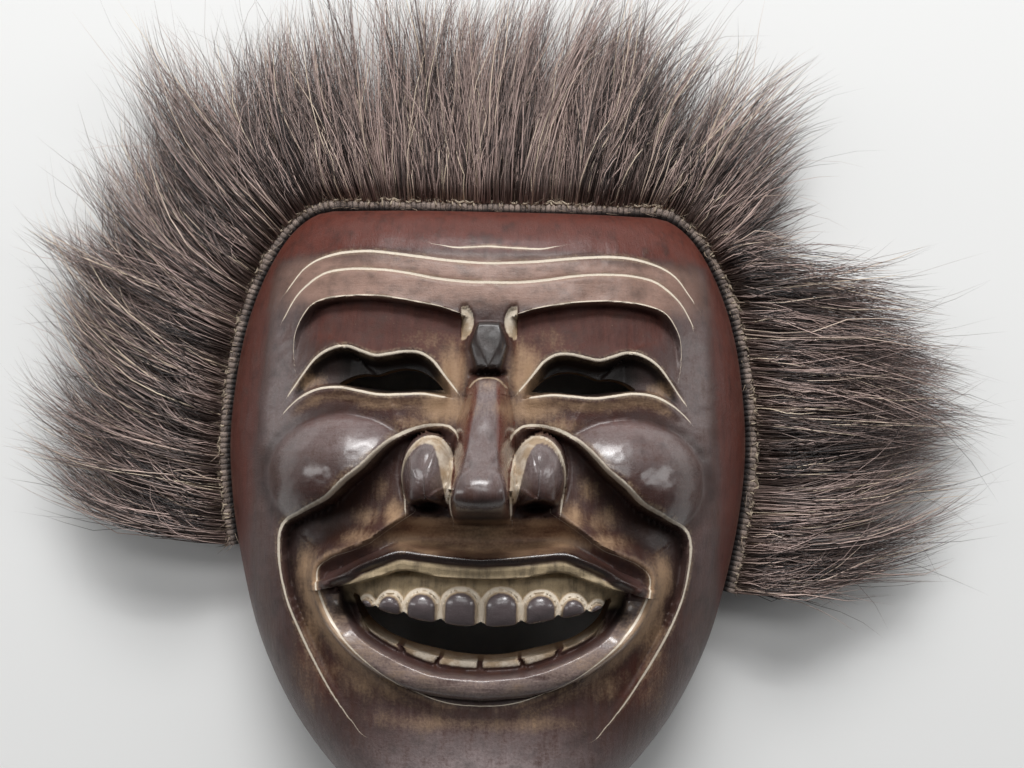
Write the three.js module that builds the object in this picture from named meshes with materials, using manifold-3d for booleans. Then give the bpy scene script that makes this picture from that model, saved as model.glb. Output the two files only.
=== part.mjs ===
// A laughing mask for the wall. One block of wood is carved and hollowed from behind, with pierced
// eyes and a pierced mouth between two rows of teeth. A band of hair, looped over a cord and bound
// with thread, runs from one cheek over the forehead to the other cheek, and its hair stands out in
// bunches. The mask lies face up on its flat back rim.
//
// Millimetres. +Z is out of the face, +Y towards the forehead, +X to the viewer's right. The origin
// is under the middle of the whole object's box, on the surface that the rim lies on.

import * as THREE from 'three';
import { mergeVertices } from 'three/addons/utils/BufferGeometryUtils.js';
import Module from 'manifold-3d';

const wasm = await Module();
wasm.setup();

// Driving dimensions of the wood
const faceWidth = 172;
const faceHeight = 210;
const faceDepth = 57;      // from the back rim to the middle of the face, without the nose
const sideHeight = 20;     // the straight side wall that the band is tied round
const rimWidth = 9;
const faceThickness = 14;  // wood between the hollow and the uncarved face
const innerSideHeight = 6; // the straight wall inside the rim
const lidSlope = 5;        // from a scored lid line down to the floor of the eye's funnel
const lipSlope = 8;        // over which the band under the upper lip falls off

// Driving dimensions of the hair band and its hair
const bandDiameter = 5.6;
const bandHeight = 14;     // the cord's middle above the back rim's plane
const threadDiameter = 1;
const seatGap = 0.7;       // clearance between the wood, the band, the thread and the hair
const hairLength = 80;     // the longest bunch, over the forehead
const hairRootThickness = 7;
const hairBellyThickness = 11;
const hairTipThickness = 2.4;
const hairLift = 4;        // how far a bunch arches up between its root and its tip
const bunchGap = 1.2;      // the parting between two bunches, at their roots

// How finely the surfaces are divided
const faceColumns = 48;
const hollowRows = 18;
const hollowColumns = 14;
const bandSteps = 72;
const bandSides = 6;
const threadSides = 4;
const bunchSteps = 4;

const halfWidth = faceWidth / 2;
const halfHeight = faceHeight / 2;
const lean = Math.PI / 180;

// Small helpers on numbers
const clamp01 = (t) => Math.min(1, Math.max(0, t));
const smooth = (low, high, t) => {
  const s = clamp01((t - low) / (high - low));
  return s * s * (3 - 2 * s);
};
const bell = (t) => Math.exp(-t * t);
const roundTop = (t) => Math.sqrt(Math.max(0, 1 - t * t));

// Straight interpolation in a table of [key, value] pairs whose keys rise
function along(table, key) {
  let k = 1;
  while (k < table.length - 1 && key > table[k][0]) k += 1;
  const [a, b] = [table[k - 1], table[k]];
  return a[1] + (b[1] - a[1]) * clamp01((key - a[0]) / (b[0] - a[0]));
}

// The outline: half the width, as a share of the widest, at shares of the half height, chin first
const outline = [
  [-1, 0.03], [-0.985, 0.11], [-0.955, 0.2], [-0.9, 0.32], [-0.82, 0.445], [-0.69, 0.605],
  [-0.55, 0.733], [-0.36, 0.85], [-0.17, 0.921], [0.05, 0.977], [0.24, 1], [0.4, 0.993],
  [0.59, 0.962], [0.74, 0.91], [0.85, 0.85], [0.92, 0.795], [0.965, 0.74], [0.99, 0.69], [1, 0.64],
];
// The uncarved face's height on the middle line, as a share of faceDepth, at shares of half height
const profile = [
  [-1, 0.36], [-0.97, 0.55], [-0.92, 0.7], [-0.82, 0.86], [-0.65, 0.95], [-0.4, 0.99], [0, 1.01],
  [0.3, 0.98], [0.5, 0.95], [0.7, 0.9], [0.85, 0.81], [0.92, 0.72], [0.96, 0.63], [0.985, 0.52],
  [1, 0.38],
];

const curveThrough = (pairs) =>
  new THREE.CatmullRomCurve3(
    pairs.map(([u, v]) => new THREE.Vector3(u * halfWidth, v * halfHeight, 0)), false, 'centripetal');
const smoothTable = (table, count) =>
  new THREE.CatmullRomCurve3(table.map(([a, b]) => new THREE.Vector3(a, b, 0)), false, 'centripetal')
    .getPoints(count).map((p) => [p.x, p.y]);
const outlineFine = smoothTable(outline, 160);
const profileFine = smoothTable(profile, 80);

// The uncarved face: across, each section is a flattened arch from side wall to side wall
const archFullness = 3.1;
const archShoulder = 0.62;
function dome(across, v, middle, side) {
  const crown = faceDepth * along(profileFine, v) - (faceDepth - middle);
  const arch = Math.pow(Math.max(0, 1 - Math.pow(Math.abs(across), archFullness)), archShoulder);
  return side + Math.max(0, crown - side) * arch;
}

// A carved line: points as shares of half width and half height on the viewer's right half
function carvedLine(pairs, samples = 60) {
  const points = curveThrough(pairs).getSpacedPoints(samples);
  // d is the distance to the line, positive on the right of its run; t is the share of its run
  return (x, y) => {
    let best = { d: Infinity, t: 0 };
    for (let k = 0; k < samples; k += 1) {
      const [a, b] = [points[k], points[k + 1]];
      const [ex, ey, px, py] = [b.x - a.x, b.y - a.y, x - a.x, y - a.y];
      const s = clamp01((px * ex + py * ey) / (ex * ex + ey * ey));
      const gap = Math.hypot(px - s * ex, py - s * ey);
      if (gap < Math.abs(best.d)) {
        best = { d: gap * Math.sign(px * ey - py * ex || 1), t: (k + s) / samples };
      }
    }
    return best;
  };
}

// Places on the right half of the face, as shares [of half width, of half height]
const browEdge = carvedLine([
  [0.1, 0.62], [0.17, 0.638], [0.26, 0.652], [0.385, 0.667], [0.5, 0.67], [0.59, 0.664],
  [0.645, 0.647], [0.68, 0.61], [0.7, 0.565], [0.7, 0.5], [0.685, 0.44],
]);
const upperLid = carvedLine([
  [0.11, 0.4], [0.155, 0.443], [0.2, 0.486], [0.245, 0.506], [0.3, 0.507], [0.355, 0.498],
  [0.4, 0.493], [0.45, 0.506], [0.505, 0.521], [0.565, 0.512], [0.615, 0.486], [0.66, 0.44],
  [0.715, 0.377],
]);
const lowerLid = carvedLine([
  [0.15, 0.38], [0.225, 0.387], [0.3, 0.383], [0.38, 0.379], [0.45, 0.388], [0.52, 0.398],
  [0.6, 0.393], [0.66, 0.371], [0.705, 0.345], [0.73, 0.324],
]);
const smileFold = carvedLine([
  [0.1, 0.265], [0.125, 0.288], [0.178, 0.292], [0.255, 0.276], [0.318, 0.246], [0.363, 0.21],
  [0.413, 0.165], [0.473, 0.124], [0.535, 0.076], [0.6, 0.048], [0.657, 0.024], [0.706, 0.004],
  [0.723, -0.024], [0.724, -0.072], [0.71, -0.143], [0.684, -0.21], [0.637, -0.289],
  [0.567, -0.39], [0.488, -0.49], [0.393, -0.581],
]);
const mouthRidge = carvedLine([
  [0.25, 0.06], [0.33, 0.014], [0.407, -0.033], [0.477, -0.057], [0.547, -0.081], [0.587, -0.11],
  [0.593, -0.138], [0.581, -0.181], [0.54, -0.248], [0.477, -0.31], [0.39, -0.376],
  [0.29, -0.433], [0.169, -0.478], [0.08, -0.494], [0, -0.497],
]);
const upperLip = carvedLine([
  [0, -0.065], [0.105, -0.06], [0.21, -0.052], [0.285, -0.05], [0.349, -0.07], [0.413, -0.094],
  [0.477, -0.124], [0.535, -0.143],
]);
const lipUnderside = carvedLine([
  [0, -0.127], [0.14, -0.124], [0.267, -0.11], [0.337, -0.126], [0.419, -0.15], [0.5, -0.165],
]);
const lowerLip = carvedLine([
  [0.529, -0.2], [0.5, -0.243], [0.43, -0.3], [0.357, -0.342], [0.244, -0.388], [0.134, -0.411],
  [0, -0.42],
]);
const lowerLipInside = carvedLine([
  [0.5, -0.19], [0.478, -0.235], [0.407, -0.3], [0.285, -0.357], [0.17, -0.39], [0.06, -0.401],
  [0, -0.403],
]);

// Hollow of each eye socket under its brow: deep at the brow's edge, and out again at the lid
const socketDepth = 0.115 * faceDepth;
function eyeSocket(x, y) {
  const { d, t } = browEdge(x, y);
  const reach = smooth(0.05, 0.12, x / halfWidth) * (1 - smooth(0.72, 1, t));
  const under = smooth(0, 1.6, d) * Math.exp(-Math.max(0, d) / 12);
  const lip = d < 0 ? 0.018 * faceDepth * Math.exp(d / 4) : 0;
  return reach * (lip - socketDepth * under);
}

// Lids: the wood falls away between each scored lid line and the pierced eye
function eyeLids(x, y) {
  const upper = upperLid(x, y);
  const lower = lowerLid(x, y);
  const between = smooth(0, lidSlope, upper.d) * smooth(0, 0.6 * lidSlope, -lower.d);
  const ends = smooth(0.13, 0.2, x / halfWidth) * (1 - smooth(0.62, 0.7, x / halfWidth));
  const upperSwell = bell(Math.min(0, upper.d) / 5) * (upper.d < 0 ? 1 : 0);
  const lowerSwell = bell(lower.d / 4);
  return ends * (0.04 * upperSwell + 0.025 * lowerSwell - 0.1 * between) * faceDepth;
}

// The six-sided boss between the brows and the notch on each side of it
function browBoss(x, y) {
  const v = y / halfHeight;
  const half = along([[0.44, 0.043], [0.53, 0.074], [0.6, 0.036]], v) * halfWidth;
  const inside = Math.min(half - x, (0.6 - v) * halfHeight, (v - 0.44) * halfHeight);
  const boss = smooth(0, 1.5, inside) * (0.055 + 0.02 * (1 - x / half)) * faceDepth;
  const notchX = 0.064 + 0.012 * Math.pow((v - 0.59) / 0.05, 2);
  const notch = bell((x / halfWidth - notchX) / 0.02) * bell((v - 0.59) / 0.05);
  return boss - 0.035 * faceDepth * notch;
}

// The nose: a flat-topped ridge that widens to a round tip, over a steep underside
const noseHeights = [
  [-0.015, 0], [0.015, 0.2], [0.04, 0.42], [0.07, 0.53], [0.11, 0.54], [0.17, 0.47],
  [0.26, 0.34], [0.36, 0.2], [0.42, 0.1], [0.45, 0],
];
const noseTopHalf = [[0, 0.06], [0.09, 0.075], [0.18, 0.056], [0.27, 0.048], [0.45, 0.042]];
const noseFootHalf = [[0, 0.1], [0.09, 0.13], [0.18, 0.11], [0.3, 0.115], [0.45, 0.1]];
function nose(x, y) {
  const v = y / halfHeight;
  const top = along(noseTopHalf, v) * halfWidth;
  const foot = along(noseFootHalf, v) * halfWidth;
  const wall = clamp01((foot - x) / (foot - top));
  const ridge = along(noseHeights, v) * Math.pow(wall, 0.8);
  const tip = 0.57 * roundTop(Math.hypot(x / halfWidth / 0.115, (v - 0.095) / 0.095));
  return Math.max(ridge, tip) * faceDepth;
}

// A nostril's wing: a leaf-shaped swelling cut off steeply below
function nostrilWing(x, y) {
  const u = x / halfWidth;
  const v = y / halfHeight;
  const swell = roundTop(Math.hypot((u - 0.19) / 0.095, (v - 0.175) / 0.105));
  const cut = smooth(0.075, 0.1, v);
  const nostril = bell((u - 0.17) / 0.055) * bell((v - 0.062) / 0.025);
  return (0.28 * Math.pow(swell, 0.8) * cut - 0.06 * nostril) * faceDepth;
}

// The cheek: a ball under the eye that ends at the smile fold
function cheek(x, y) {
  const u = x / halfWidth;
  const v = y / halfHeight;
  const fold = smileFold(x, y);
  const ball = roundTop(Math.hypot((u - 0.5) / 0.27, (v - 0.16) / 0.19));
  const valley = bell((Math.hypot((u - 0.5) / 0.27, (v - 0.16) / 0.19) - 1.06) / 0.14);
  const above = 1 - smooth(-1.2, 0.6, fold.d);
  return (0.13 * ball * above - 0.03 * valley * above * smooth(0.4, 0.7, u)) * faceDepth;
}

// The trough inside the smile fold, deepest beside the mouth, that climbs to the ridge of the mouth
const foldDepths = [
  [0, 0.02], [0.08, 0.06], [0.2, 0.1], [0.4, 0.12], [0.5, 0.11], [0.6, 0.08], [0.8, 0.04], [1, 0],
];
function smileTrough(x, y) {
  const { d, t } = smileFold(x, y);
  const ridge = mouthRidge(x, y);
  const depth = along(foldDepths, t) * smooth(0, 1.6, d);
  const toRidge = Math.abs(ridge.d) / (Math.abs(ridge.d) + Math.max(0, d) + 1e-6);
  return -depth * Math.pow(toRidge, 0.7) * faceDepth * (ridge.d < 0 ? 1 : 0);
}

// The ridge round the mouth, and the hollow between nose and upper lip
function mouthSurround(x, y) {
  const ridge = mouthRidge(x, y);
  const height = along([[0, 0.03], [0.15, 0.07], [0.45, 0.05], [1, 0.02]], ridge.t);
  const crest = bell(ridge.d / 3.4) * height;
  const u = x / halfWidth;
  const v = y / halfHeight;
  const hollow = bell((u - 0.2) / 0.2) * bell((v + 0.02) / 0.035) * smooth(0, 2, ridge.d);
  return (crest - 0.1 * hollow) * faceDepth;
}

// The lips: a sharp upper lip over a smooth band, and a rounded lower lip
function lips(x, y) {
  const upper = upperLip(x, y);
  const under = lipUnderside(x, y);
  const inMouth = smooth(0.62, 0.5, x / halfWidth);
  const band = smooth(-1.6, 0.4, upper.d) * (1 - 0.25 * smooth(0, lipSlope, upper.d))
    * (1 - smooth(-0.4, 1, under.d));
  const lower = lowerLip(x, y);
  const roll = roundTop(lower.d / 5.4) * along([[0, 0.2], [0.2, 0.9], [1, 1]], lower.t);
  return (0.13 * band * inMouth * (y > -0.2 * halfHeight ? 1 : 0) + 0.11 * roll) * faceDepth;
}

// The upper teeth: round-topped blocks on the gum, two rows of four mirrored about the middle
const toothMiddle = [0.069, 0.2, 0.31, 0.392];
const toothHalf = [0.063, 0.058, 0.046, 0.034];
const toothTop = [-0.157, -0.165, -0.175, -0.19];
const toothFoot = [[0, -0.257], [0.14, -0.25], [0.27, -0.232], [0.38, -0.212], [0.45, -0.19]];
function upperTeeth(x, y) {
  const u = x / halfWidth;
  const v = y / halfHeight;
  let rise = 0;
  toothMiddle.forEach((middle, n) => {
    const side = Math.abs(u - middle) / toothHalf[n];
    const arch = toothTop[n] - 0.03 * Math.pow(side, 3);
    const body = smooth(1, 0.72, side) * smooth(arch + 0.008, arch - 0.012, v);
    rise = Math.max(rise, 0.07 * body);
  });
  const gum = smooth(-0.115, -0.135, v) * smooth(0.5, 0.42, u);
  return (rise + 0.02 * gum) * smooth(-0.33, -0.28, v) * faceDepth;
}

// The lower teeth: flat blocks between the pierced mouth and the lower lip
const lowerToothPitch = 0.137;
function lowerTeeth(x, y) {
  const inside = lowerLipInside(x, y);
  const shelf = smooth(0.2, 1.4, inside.d) * smooth(-0.17, -0.2, y / halfHeight);
  const place = Math.abs(((x / halfWidth / lowerToothPitch) % 1) - 0.5) * 2;
  const joint = smooth(0.86, 1, 1 - place);
  return shelf * (-0.02 - 0.03 * joint) * faceDepth;
}

// The chin's low boss
function chin(x, y) {
  return 0.05 * faceDepth * bell(x / halfWidth / 0.4) * bell((y / halfHeight + 0.72) / 0.14);
}

const carvings = [
  eyeSocket, eyeLids, browBoss, nose, nostrilWing, cheek, smileTrough, mouthSurround, lips,
  upperTeeth, lowerTeeth, chin,
];

// The finished face, eased out near the side wall so that the edge stays clean
function faceHeightAt(across, v) {
  const x = across * along(outlineFine, v) * halfWidth;
  const y = v * halfHeight;
  const carved = carvings.reduce((sum, carving) => sum + carving(Math.abs(x), y), 0);
  const edge = smooth(1, 0.86, Math.abs(across)) * smooth(1, 0.93, Math.abs(v));
  return dome(across, v, faceDepth, sideHeight) + carved * edge;
}

// Geometry from a list of points and a list of triangles of their numbers
function meshOf(points, triangles) {
  const geometry = new THREE.BufferGeometry();
  geometry.setAttribute('position', new THREE.Float32BufferAttribute(points.flat(), 3));
  geometry.setIndex(triangles.flat());
  return geometry;
}

// A closed body under a grid of points: straight walls down to z = foot, and a flat bottom
function bodyUnder(grid, foot) {
  const [rows, columns] = [grid.length, grid[0].length];
  const points = grid.flat();
  const number = (i, j) => i * columns + j;
  const triangles = [];
  for (let i = 0; i + 1 < rows; i += 1) {
    for (let j = 0; j + 1 < columns; j += 1) {
      const [a, b, c, d] = [number(i, j), number(i, j + 1), number(i + 1, j + 1), number(i + 1, j)];
      const level = (p, q) => Math.abs(points[p][2] - points[q][2]);
      // the shorter fold of the two keeps the carved edges crisp
      if (level(a, c) <= level(b, d)) triangles.push([a, b, c], [a, c, d]);
      else triangles.push([a, b, d], [b, c, d]);
    }
  }
  const loop = [];
  for (let j = 0; j + 1 < columns; j += 1) loop.push(number(0, j));
  for (let i = 0; i + 1 < rows; i += 1) loop.push(number(i, columns - 1));
  for (let j = columns - 1; j > 0; j -= 1) loop.push(number(rows - 1, j));
  for (let i = rows - 1; i > 0; i -= 1) loop.push(number(i, 0));
  const below = loop.map((n) => points.push([points[n][0], points[n][1], foot]) - 1);
  loop.forEach((n, k) => {
    const next = (k + 1) % loop.length;
    triangles.push([n, below[k], below[next]], [n, below[next], loop[next]]);
  });
  const floor = below.map((n) => new THREE.Vector2(points[n][0], points[n][1]));
  THREE.ShapeUtils.triangulateShape(floor, []).forEach(([a, b, c]) => {
    triangles.push([below[a], below[c], below[b]]);
  });
  return meshOf(points, triangles);
}

// Places from -1 to 1, closer together where the weight is high
function spaced(count, weight) {
  const divisions = 400;
  const total = [0];
  for (let k = 0; k < divisions; k += 1) {
    total.push(total[k] + weight(-1 + (2 * (k + 0.5)) / divisions));
  }
  const table = total.map((sum, k) => [sum / total.at(-1), -1 + (2 * k) / divisions]);
  return Array.from({ length: count + 1 }, (_, k) => along(table, k / count));
}

// The grid's rows follow the carving. Each guide is one row: its height at shares of the half width.
const topEdge = [[0, 1], [1, 1]];
const browRow = [
  [0, 0.625], [0.1, 0.62], [0.26, 0.652], [0.5, 0.67], [0.645, 0.647], [0.74, 0.6], [1, 0.58],
];
const upperLidRow = [
  [0, 0.43], [0.11, 0.4], [0.2, 0.486], [0.3, 0.507], [0.4, 0.493], [0.505, 0.521], [0.615, 0.486],
  [0.715, 0.377], [0.8, 0.37], [1, 0.37],
];
const lowerLidRow = [
  [0, 0.36], [0.15, 0.38], [0.38, 0.379], [0.52, 0.398], [0.66, 0.371], [0.73, 0.324], [1, 0.3],
];
const noseTipRow = [[0, 0.085], [0.18, 0.1], [0.27, 0.15], [0.5, 0.13], [1, 0.1]];
const noseFootRow = [[0, -0.01], [0.2, 0.03], [0.33, 0.01], [0.55, -0.06], [0.7, -0.04], [1, -0.03]];
const upperLipRow = [
  [0, -0.065], [0.21, -0.052], [0.285, -0.05], [0.413, -0.094], [0.535, -0.143], [0.7, -0.14], [1, -0.13],
];
const gumRow = [
  [0, -0.127], [0.14, -0.124], [0.267, -0.11], [0.419, -0.15], [0.52, -0.178], [0.7, -0.18], [1, -0.17],
];
const toothFootRow = [
  [0, -0.26], [0.2, -0.245], [0.38, -0.215], [0.46, -0.19], [0.54, -0.2], [0.7, -0.22], [1, -0.22],
];
const lowerLipRow = [
  [0, -0.403], [0.17, -0.39], [0.285, -0.357], [0.407, -0.3], [0.478, -0.235], [0.56, -0.23],
  [0.7, -0.26], [1, -0.28],
];
const mouthRidgeRow = [
  [0, -0.497], [0.169, -0.478], [0.29, -0.433], [0.39, -0.376], [0.477, -0.31], [0.56, -0.26],
  [0.7, -0.33], [1, -0.38],
];
const chinEnd = [[0, -1], [1, -1]];

// How many rows lie between a guide and the one above it, closer to one of the two where eased
const guides = [
  { line: topEdge },
  { line: browRow, rows: 9, ease: 1.5 },
  { line: upperLidRow, rows: 6 },
  { line: lowerLidRow, rows: 4 },
  { line: noseTipRow, rows: 7 },
  { line: noseFootRow, rows: 3 },
  { line: upperLipRow, rows: 2 },
  { line: gumRow, rows: 2 },
  { line: toothFootRow, rows: 3 },
  { line: lowerLipRow, rows: 3 },
  { line: mouthRidgeRow, rows: 4 },
  { line: chinEnd, rows: 12, ease: 0.75 },
];
const columnWeight = (u) => 1 + 0.9 * bell(u / 0.25) + 1.6 * smooth(0.86, 1, Math.abs(u));

// The rows' heights on the column that lies at a share across, chin first
function rowHeights(across) {
  const at = guides.map(({ line }) => {
    let v = along(line, Math.abs(across));
    for (let turn = 0; turn < 3; turn += 1) v = along(line, Math.abs(across) * along(outlineFine, v));
    return v;
  });
  const heights = [1];
  guides.slice(1).forEach(({ rows, ease = 1 }, k) => {
    for (let i = 1; i <= rows; i += 1) {
      heights.push(at[k] + (at[k + 1] - at[k]) * Math.pow(i / rows, ease));
    }
  });
  return heights.reverse();
}

function outerBody() {
  const columns = spaced(faceColumns, columnWeight)
    .map((across) => rowHeights(across).map((v) => [
      across * along(outlineFine, v) * halfWidth, v * halfHeight, faceHeightAt(across, v),
    ]));
  const grid = columns[0].map((_, i) => columns.map((column) => column[i]));
  return bodyUnder(grid, 0);
}

// The hollow behind the face, open at the back and one rim smaller all round
function hollowBody() {
  const [shareX, shareY] = [1 - rimWidth / halfWidth, 1 - rimWidth / halfHeight];
  const rows = spaced(hollowRows, (v) => 1 + 2 * smooth(0.85, 1, Math.abs(v)));
  const columns = spaced(hollowColumns, (u) => 1 + 1.5 * smooth(0.8, 1, Math.abs(u)));
  const grid = rows.map((v) => columns.map((across) => [
    across * along(outlineFine, v) * halfWidth * shareX,
    v * halfHeight * shareY,
    dome(across, v, faceDepth - faceThickness, innerSideHeight),
  ]));
  return bodyUnder(grid, -sideHeight);
}

// The pierced openings: straight through the wood along Z
const eyeOpening = [
  [0.156, 0.403], [0.198, 0.438], [0.244, 0.46], [0.302, 0.467], [0.355, 0.459], [0.401, 0.446],
  [0.448, 0.447], [0.5, 0.436], [0.535, 0.415], [0.465, 0.408], [0.395, 0.4], [0.326, 0.396],
  [0.256, 0.4], [0.198, 0.401],
];
const mouthLowerEdge = [
  [-0.45, -0.195], [-0.415, -0.257], [-0.343, -0.305], [-0.26, -0.331], [-0.18, -0.347],
  [-0.09, -0.362], [0, -0.367], [0.09, -0.362], [0.18, -0.347], [0.26, -0.331],
  [0.343, -0.305], [0.415, -0.257], [0.45, -0.195],
];
// The mouth's upper edge follows the feet of the teeth, round below each one
function mouthUpperEdge() {
  const edge = [];
  const steps = 34;
  for (let k = 1; k < steps; k += 1) {
    const u = 0.45 - (0.9 * k) / steps;
    let bite = 0;
    toothMiddle.forEach((middle, n) => {
      bite = Math.max(bite, 0.012 * roundTop((Math.abs(u) - middle) / toothHalf[n]));
    });
    edge.push([u, along(toothFoot, Math.abs(u)) + 0.008 - bite]);
  }
  return edge;
}

function cutter(pairs) {
  const shape = new THREE.Shape(
    pairs.map(([u, v]) => new THREE.Vector2(u * halfWidth, v * halfHeight)));
  const geometry = new THREE.ExtrudeGeometry(shape, { depth: 3 * faceDepth, bevelEnabled: false });
  return geometry.translate(0, 0, -faceDepth);
}

// Closed three.js geometry to a manifold-3d solid and back
function solidOf(geometry) {
  const plain = geometry.index ? geometry.toNonIndexed() : geometry.clone();
  plain.deleteAttribute('normal');
  plain.deleteAttribute('uv');
  const merged = mergeVertices(plain, 1e-3);
  return new wasm.Manifold(new wasm.Mesh({
    numProp: 3,
    vertProperties: merged.attributes.position.array,
    triVerts: new Uint32Array(merged.index.array),
  }));
}

function geometryOf(solid) {
  const mesh = solid.getMesh();
  const geometry = new THREE.BufferGeometry();
  geometry.setAttribute('position', new THREE.BufferAttribute(mesh.vertProperties, 3));
  geometry.setIndex(new THREE.BufferAttribute(mesh.triVerts, 1));
  geometry.computeVertexNormals();
  return geometry;
}

const paint = (color, roughness, metalness = 0) =>
  new THREE.MeshStandardMaterial({ color, roughness, metalness });

function woodenMask() {
  const shell = solidOf(outerBody()).subtract(solidOf(hollowBody()));
  const mirrored = eyeOpening.map(([u, v]) => [-u, v]).reverse();
  const solid = [eyeOpening, mirrored, [...mouthLowerEdge, ...mouthUpperEdge()]]
    .map((pairs) => solidOf(cutter(pairs)))
    .reduce((body, opening) => body.subtract(opening), shell);
  const mesh = new THREE.Mesh(geometryOf(solid), paint(0x43261d, 0.3));
  mesh.name = 'wooden_mask';
  return mesh;
}

// The band's line: the outline from one cheek over the forehead to the other, moved outwards
const bandEnds = [-0.085, -0.2]; // where it stops on the viewer's left and right, of half height
function bandLine(outwards) {
  const side = outlineFine.filter(([v]) => v < 1);
  const left = side.filter(([v]) => v >= bandEnds[0]).map(([v, w]) => [-w, v]);
  const right = side.filter(([v]) => v >= bandEnds[1]).map(([v, w]) => [w, v]).reverse();
  const crown = outline[outline.length - 1][1];
  const top = [-0.9, -0.45, 0, 0.45, 0.9].map((share) => [share * crown, 1]);
  const path = new THREE.CurvePath();
  const corners = [...left, ...top, ...right]
    .map(([u, v]) => new THREE.Vector3(u * halfWidth, v * halfHeight, bandHeight));
  corners.slice(1).forEach((corner, k) => path.add(new THREE.LineCurve3(corners[k], corner)));
  const even = path.getSpacedPoints(bandSteps);
  return even.map((point, k) => {
    const before = even[Math.max(0, k - 2)];
    const after = even[Math.min(bandSteps, k + 2)];
    const run = after.clone().sub(before).normalize();
    return new THREE.Vector3(point.x - run.y * outwards, point.y + run.x * outwards, bandHeight);
  });
}

const bandOut = bandDiameter / 2 + seatGap;
const threadTilt = 50 * lean; // the thread lies on the band's front, on the side of the hair

function roundSection(radius, sides) {
  const turn = (k) => ((k + 0.5) / sides) * 2 * Math.PI;
  return new THREE.Shape(Array.from({ length: sides }, (_, k) =>
    new THREE.Vector2(radius * Math.cos(turn(k)), radius * Math.sin(turn(k)))));
}

function cordMesh(name, points, diameter, sides, material) {
  const run = new THREE.CatmullRomCurve3(points, false, 'centripetal');
  const geometry = new THREE.ExtrudeGeometry(roundSection(diameter / 2, sides), {
    extrudePath: run, steps: bandSteps, bevelEnabled: false,
  });
  const mesh = new THREE.Mesh(geometryOf(solidOf(geometry)), material);
  mesh.name = name;
  return mesh;
}

function hairBand() {
  return cordMesh('hair_band', bandLine(bandOut), bandDiameter, bandSides, paint(0x2a2220, 0.85));
}

function bindingThread() {
  const reach = bandDiameter / 2 + seatGap + threadDiameter / 2;
  const points = bandLine(bandOut + reach * Math.cos(threadTilt));
  points.forEach((p) => { p.z += reach * Math.sin(threadTilt); });
  return cordMesh('binding_thread', points, threadDiameter, threadSides, paint(0xa08f78, 0.9));
}

// The hair's run along the band, from the left end (0) to the right end (1): where it points at
// the root and at the tip, in degrees from +X towards +Y, and how long it is as a share of hairLength
const rootAngle = [
  [0, 177], [0.09, 171], [0.19, 160], [0.27, 142], [0.33, 118], [0.4, 96], [0.47, 91], [0.54, 87],
  [0.61, 78], [0.66, 55], [0.69, 30], [0.72, 3], [0.76, -6], [0.85, -4], [0.93, -1], [1, 3],
];
const tipAngle = [
  [0, 143], [0.09, 134], [0.19, 122], [0.27, 108], [0.33, 98], [0.4, 92], [0.47, 79], [0.54, 69],
  [0.61, 58], [0.66, 42], [0.69, 25], [0.72, 4], [0.76, 1], [0.85, 16], [0.93, 27], [1, 36],
];
const lengthShare = [
  [0, 0.76], [0.09, 0.86], [0.19, 0.94], [0.27, 0.96], [0.33, 0.98], [0.47, 1], [0.54, 0.98],
  [0.61, 0.93], [0.66, 0.8], [0.69, 0.7], [0.72, 0.84], [0.76, 0.98], [0.85, 0.95], [0.93, 0.86],
  [1, 0.76],
];
const tuftDip = 0.9;      // the tips' line dips to this share of the length between two tufts
const furrow = 0.7;       // and the bunch thins to this share of its thickness there
const tipSink = 0.25;     // the tips hang lower than the roots by this share of bandHeight
const bellyAt = 0.35;     // where along its length a bunch is thickest
const bendPower = 1.3;    // the hair bends more towards its tips

function hairBunch(name, from, to, tufts) {
  const line = bandLine(bandOut + bandDiameter / 2 + seatGap);
  const place = (s) => {
    const at = clamp01(s) * bandSteps;
    const k = Math.min(bandSteps - 1, Math.floor(at));
    return line[k].clone().lerp(line[k + 1], at - k);
  };
  const run = new THREE.CurvePath();
  line.slice(1).forEach((p, k) => run.add(new THREE.LineCurve3(line[k], p)));
  const parting = bunchGap / 2 / run.getLength();
  const columns = 2 * tufts;
  const [top, bottom] = [[], []];
  for (let k = 0; k <= columns; k += 1) {
    const s = from + parting + ((to - from - 2 * parting) * k) / columns;
    const full = k % 2 ? 1 : tuftDip;
    const length = hairLength * along(lengthShare, s) * full;
    const at = place(s);
    for (let i = 0; i <= bunchSteps; i += 1) {
      const t = i / bunchSteps;
      const thickness = t < bellyAt
        ? hairRootThickness + (hairBellyThickness - hairRootThickness) * smooth(0, bellyAt, t)
        : hairBellyThickness + (hairTipThickness - hairBellyThickness) * smooth(bellyAt, 1, t);
      const half = (thickness / 2) * (k % 2 ? 1 : furrow);
      const middle = bandHeight + hairLift * Math.sin(Math.PI * t) - bandHeight * tipSink * t * t;
      top.push([at.x, at.y, middle + half]);
      bottom.push([at.x, at.y, middle - half]);
      const bend = (t + 0.5 / bunchSteps) ** bendPower;
      const angle = (along(rootAngle, s) * (1 - bend) + along(tipAngle, s) * bend) * lean;
      at.x += (length / bunchSteps) * Math.cos(angle);
      at.y += (length / bunchSteps) * Math.sin(angle);
    }
  }
  return sheetMesh(name, top, bottom, columns + 1, bunchSteps + 1);
}

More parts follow.
